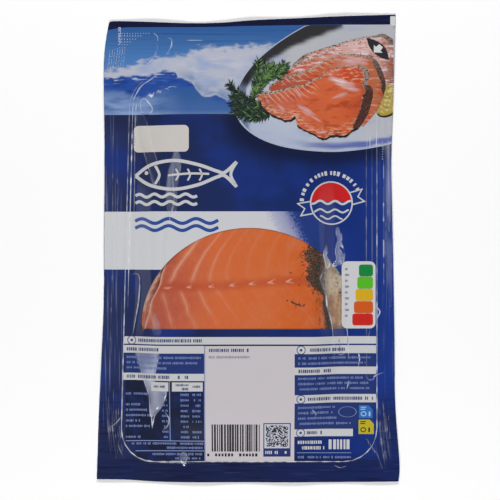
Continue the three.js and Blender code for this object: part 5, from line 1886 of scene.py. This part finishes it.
@dataclass
class InformationPanel:
    """The printed panel below the window: columns of bars, boxes and small strokes, no lettering."""

    left: float = -64.3
    right: float = 65.6
    columns: Point = (-22.1, 23.5)
    top: float = -45.1
    foot: float = -109.3
    seed: int = 400
    tool: NodeTool | None = None

    def text(self, name: str, finish: Finish, lift: float, *groups: tuple[Any, ...]) -> None:
        """Sets rows of strokes.

        Args:
            name: the piece's name.
            finish: its ink.
            lift: its height above the film.
            groups: a size, then the left end, middle height and length of each of its rows.
        """
        piece = Strewn(name, finish)
        labels = ("Height", "Least", "Most", "GapLeast", "GapMost", "Skip", "Uneven")
        for size, *rows in groups:
            for x, y, length in rows:
                self.seed += 1
                piece.lay(self.tool, x, y, lift, Length=length, Seed=self.seed, **dict(zip(labels, size.value)))
        piece.finished()

    def build(self) -> None:
        """Makes and dresses the panel."""
        self.tool = stroke_row_tool()
        a, b, left, right, foot = *self.columns, self.left, self.right, self.foot
        edge = a - 0.3
        # The navy boxes and the dark table carry the pale layer: film turned white by stress, with painted
        # glare.
        navy_with_glare = Finish("ink_navy_box", "24356e", layers=(WHITENED_AND_GLARE,))
        dark = Finish("ink_dark_table", "191f38", layers=(Layer("1d2c5e", (0.45, 0.65), 0.7, grain=(9, 9)),
            WHITENED_AND_GLARE))
        for name, finish, lift, *boxes in (("table_dark", dark, 0.03, (left + 1, -98.5, a - 0.7, -67.6),
                (-58, foot + 0.4, a - 0.7, -98.7)), ("boxes_navy", navy_with_glare, 0.05, (left + 1, -63.6, a - 0.7,
                -53.6), (b + 0.3, -60.5, right - 0.8, -53.9), (b + 0.3, -74.6, right - 0.8, -64.6),
                (b + 0.3, -92.5, right - 1.2, -79.2)), ("bars_white", INK_WHITE, 0.07, (left, -48.9, right,
                self.top), (left, -53.5, edge, -49.6), (left, -67.5, edge, -63.8), (b, -53.8, right, -49.7),
                (b, -64.5, right, -60.7), (b, -79.1, right, -74.8), (b, -96.5, 53.7, -92.7),
                (-49.7, -72.8, -40.8, -68.2), (-39, -72.8, -23.3, -68.2)), ("rules", INK_PALE, 0.07,
                (-40.4, -98.6, -40, -67.6), (-63, -99, a - 0.6, -98.6), (-58, -104.2, a - 0.6, -103.8),
                (b + 1.4, -105.2, 52.8, -104.9), (a - 0.5, foot, a - 0.1, -49.7)), ("panel_date", INK_PANEL,
                0.07, (a, foot, b, -49.7))):
            ink("info_" + name, [tile(*box) for box in boxes], lift, finish)
        self.small_print()
        self.codes()
        self.marks()

    def small_print(self) -> None:
        """Sets every row of strokes."""
        a, b = self.columns
        self.text("info_heads", INK_HEAD, 0.1, (TypeSize.HEAD, (-56.6, -47, 33), (-62.6, -51.6, 17),
            (-62.6, -65.6, 32), (a + 2, -51.9, 21), (b + 6.8, -51.8, 20), (b + 2, -62.6, 17),
            (b + 6.8, -77, 34), (b + 6.4, -94.6, 8)), (TypeSize.SMALL, (-48.4, -70.4, 6.4), (-37.6, -69.6, 7.4),
            (-34, -71.6, 3.4), (-28.4, -70.4, 4.2)))
        rows = [(-62.6, -55.7, 38.4), (-62.6, -58.4, 36.6), (-62.6, -61.1, 21)]
        for number, y in enumerate(np.linspace(-74.5, -96.8, 9)):
            if number not in (1, 7):
                rows.append((-63, y, 12.5 - 5 * (number % 3 == 2)))
            rows += [(-44.2, y, 3.2), (-34.6, y, 4.4)]
            if number != 6:
                rows.append((-28.6, y, 4.6))
        rows += [(-60, -100.2, 36.8), (-42, -102.4, 18.8), (-49.4, -105.7, 26), (-37.6, -107.9, 14)]
        rows += [(b + 1.8, y, length) for y, length in ((-56, 37.4), (-58.7, 35), (-66.4, 34), (-69.1, 36.4),
            (-71.8, 37.4), (-81.4, 20), (-84.2, 18.4), (-87, 20), (-89.8, 27.4), (-107.3, 27.4))]
        self.text("info_small_print", INK_SMALL, 0.08, (TypeSize.SMALL, *rows))
        self.text("info_weight", INK_WHITE, 0.09, (TypeSize.BOLD, (b + 1.8, -99.6, 13), (b + 1.8, -102.5,
            14.6)), (TypeSize.WEIGHT, (41.2, -100.7, 11.6)))
        self.text("info_date_line", INK_GREY, 0.1, (TypeSize.SMALL, (a + 1.8, -55.4, 21)))

    def codes(self) -> None:
        """Prints a made-up bar code and a made-up grid code, neither of which can be read."""
        self.seed = 70
        self.text("info_bar_code", INK_BLACK, 0.11, (TypeSize.BARS, (-18.9, -97.1, 25.2)), (TypeSize.TICKS,
            (-21.2, -106.1, 1.4), (-17.2, -106.1, 10.6), (-4.8, -106.1, 10.8)))
        ink("info_code_frame", tile(7.6, -107, 21.6, -89.2), 0.09, INK_NAVY)
        ink("info_code_field", tile(8.1, -102.6, 21.1, -89.7), 0.11, Finish("ink_code_field", "bcbfca"))
        grid = Strewn("info_grid_code", INK_BLACK)
        grid.lay(dot_grid_tool(Stamp.SQUARE), 14.6, -96.1, 0.1, Columns=24, Rows=24, Width=10.9, Height=10.9,
            Size=0.47, Keep=0.52, Seed=8)
        grid.finished()
        self.text("info_code_words", INK_WHITE, 0.13, (TypeSize.HEAD, (8.6, -104.8, 8)), (TypeSize.TICKS,
            (18.6, -104.8, 1.5)))

    def marks(self) -> None:
        """Prints the ring icons, the oval and the two sorting tags."""
        icons: list[Any] = []
        for spot in ((26.8, -51.8), (26.7, -77.0), (26.7, -94.6), (-60.0, -47.0)):
            outer, inner, dot = [ellipse(spot, (size, size), count=count) for size, count in ((2.3, 40),
                (1.9, 40), (0.7, 20))]
            icons += [WEB.cut(outer, [inner], 0.35), dot]
        ink("info_icons", icons, 0.1, INK_HEAD, 0.3)
        outer, inner = [ellipse((50.9, -84.0), (half, half * 0.58), count=60) for half in (4.7, 4.4)]
        ink("info_oval", WEB.cut(outer, [inner], 0.4), 0.09, INK_PALE)
        for name, x0, y0, x1, y1, ground, mark in (("blue", 56.8, -87.2, 63.8, -80.6, "2d6cb4", "9cbbdd"),
                ("yellow", 56.6, -95.4, 64.4, -88.0, "b9a92a", "3a3826")):
            loop = np.array([(x0, y0), (x1, y0), (x1, y1 - 2.2), (x1 - 2.0, y1), (x0, y1)])
            ink(f"info_tag_{name}", loop, 0.09, Finish("ink_tag_" + name, ground), 0.5)
            ring, hole = [ellipse((x0 + 2.4, y0 + 2.2), (size + 0.2, size), count=30) for size in (1.3, 0.8)]
            marks = [WEB.cut(ring, [hole], 0.3), rounded(x0 + 0.8, y1 - 1.3, x0 + 3.8, y1 - 0.8, 0.2),
                rounded(x0 + 0.8, y1 - 2.3, x0 + 3.4, y1 - 1.8, 0.2), rounded(x0 + 5, y0 + 0.9, x0 + 5.9,
                y0 + 3.4, 0.4)]
            ink(f"info_tag_marks_{name}", marks, 0.11, Finish("ink_mark_" + name, mark), 0.3)


@dataclass
class PeelMark:
    """The dark lens with a small arrow that shows which corner to peel."""

    lens: Line = ((60.8, 108.4), (65.4, 107), (69.4, 104.4), (71.4, 101), (72.2, 97.1), (67.8, 98.4),
        (64.4, 101), (62, 104.4))
    arrow: Line = ((64.5, 100.9), (69, 100.7), (67.9, 101.8), (69.2, 103.5), (67.3, 105.2), (65.6, 103.7),
        (64.5, 104.8))

    def build(self) -> None:
        """Makes and dresses the mark."""
        upper, lower = spline(self.lens[:5], 40), spline(self.lens[4:] + self.lens[:1], 40)
        ink("peel_mark", np.vstack([upper, lower[1:-1]])[::-1], 0.38, INK_BLACK, 0.5)
        ink("peel_arrow", np.array(self.arrow), 0.41, Finish("ink_arrow_white", "cfd2ce"), 0.4)


# ---- Studio ----
@dataclass
class Studio:
    """A pale floor, soft lights round the pack, and a camera straight above it."""

    view_width: float = 256.0
    lens: float = 85.0
    sensor: float = 36.0
    look_at: Point = (0.77, -0.77)
    look_height: float = 4.0
    light_distance: float = 1.25
    room: float = 0.1
    floor_half: float = 1500.0

    def build(self) -> None:
        """Makes the floor, the lights and the camera."""
        bpy.context.scene.view_settings.view_transform = "Standard"
        half = self.floor_half
        floor = slab("floor", tile(-half, -half, half, half, 2 * half), np.full(4, -0.02), np.full(4, -5.0))
        paper = Finish("floor_paper_white", "fdfdfd", roughness=0.9, ior=1.0, relief=(40.0, 0.02))
        floor.data.materials.append(material_of(paper))
        self.lights()
        data = bpy.data.cameras.new("camera")
        data.lens, data.sensor_width = self.lens, self.sensor
        camera = bpy.data.objects.new("camera", data)
        distance = self.lens / self.sensor * self.view_width + self.look_height
        camera.location = (self.look_at[0] * MM, self.look_at[1] * MM, distance * MM)
        bpy.context.scene.collection.objects.link(camera)
        bpy.context.scene.camera = camera

    def lights(self) -> None:
        """Hangs the four soft boxes and lights the room."""
        world = bpy.context.scene.world or bpy.data.worlds.new("room")
        bpy.context.scene.world = world
        world.use_nodes = True
        world.node_tree.nodes["Background"].inputs["Color"].default_value = (1.0, 1.0, 1.0, 1.0)
        world.node_tree.nodes["Background"].inputs["Strength"].default_value = self.room
        boxes = (("left", 180.0, 66.0, (0.3, 0.8), 0.5), ("right", 0.0, 66.0, (0.3, 0.8), 0.3), ("upper", 90.0,
            57.0, (0.8, 0.3), 13.3), ("lower", 270.0, 57.0, (0.8, 0.3), 13.3))
        for name, azimuth, lean_angle, size, watts in boxes:
            lean = math.radians(lean_angle)
            lamp = bpy.data.lights.new("soft_box_" + name, "AREA")
            lamp.shape, lamp.energy = "RECTANGLE", watts
            lamp.size, lamp.size_y = size
            box = bpy.data.objects.new(lamp.name, lamp)
            away = Vector((math.cos(math.radians(azimuth)), math.sin(math.radians(azimuth)), 0.0))
            box.location = self.light_distance * (math.sin(lean) * away + Vector((0, 0, math.cos(lean))))
            box.rotation_euler = (-box.location).to_track_quat("-Z", "Y").to_euler()
            bpy.context.scene.collection.objects.link(box)


def main() -> None:
    """Builds the studio and every piece of the pack."""
    logging.basicConfig(level=logging.INFO, format="%(name)s %(message)s")
    Studio().build()
    parts = (BaseWeb(), InsertBoard(), FishSlices(), HerbCrust(), TopWeb(), SeaPicture(), ServingPlate(),
        TitleBlock(), RoundBadge(), GradeLabel(), InformationPanel(), PeelMark(), SealKnurl(), CreaseLines())
    for part in parts:
        LOG.info("building %s", type(part).__name__)
        part.build()
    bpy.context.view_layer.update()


if __name__ == "__main__":
    main()
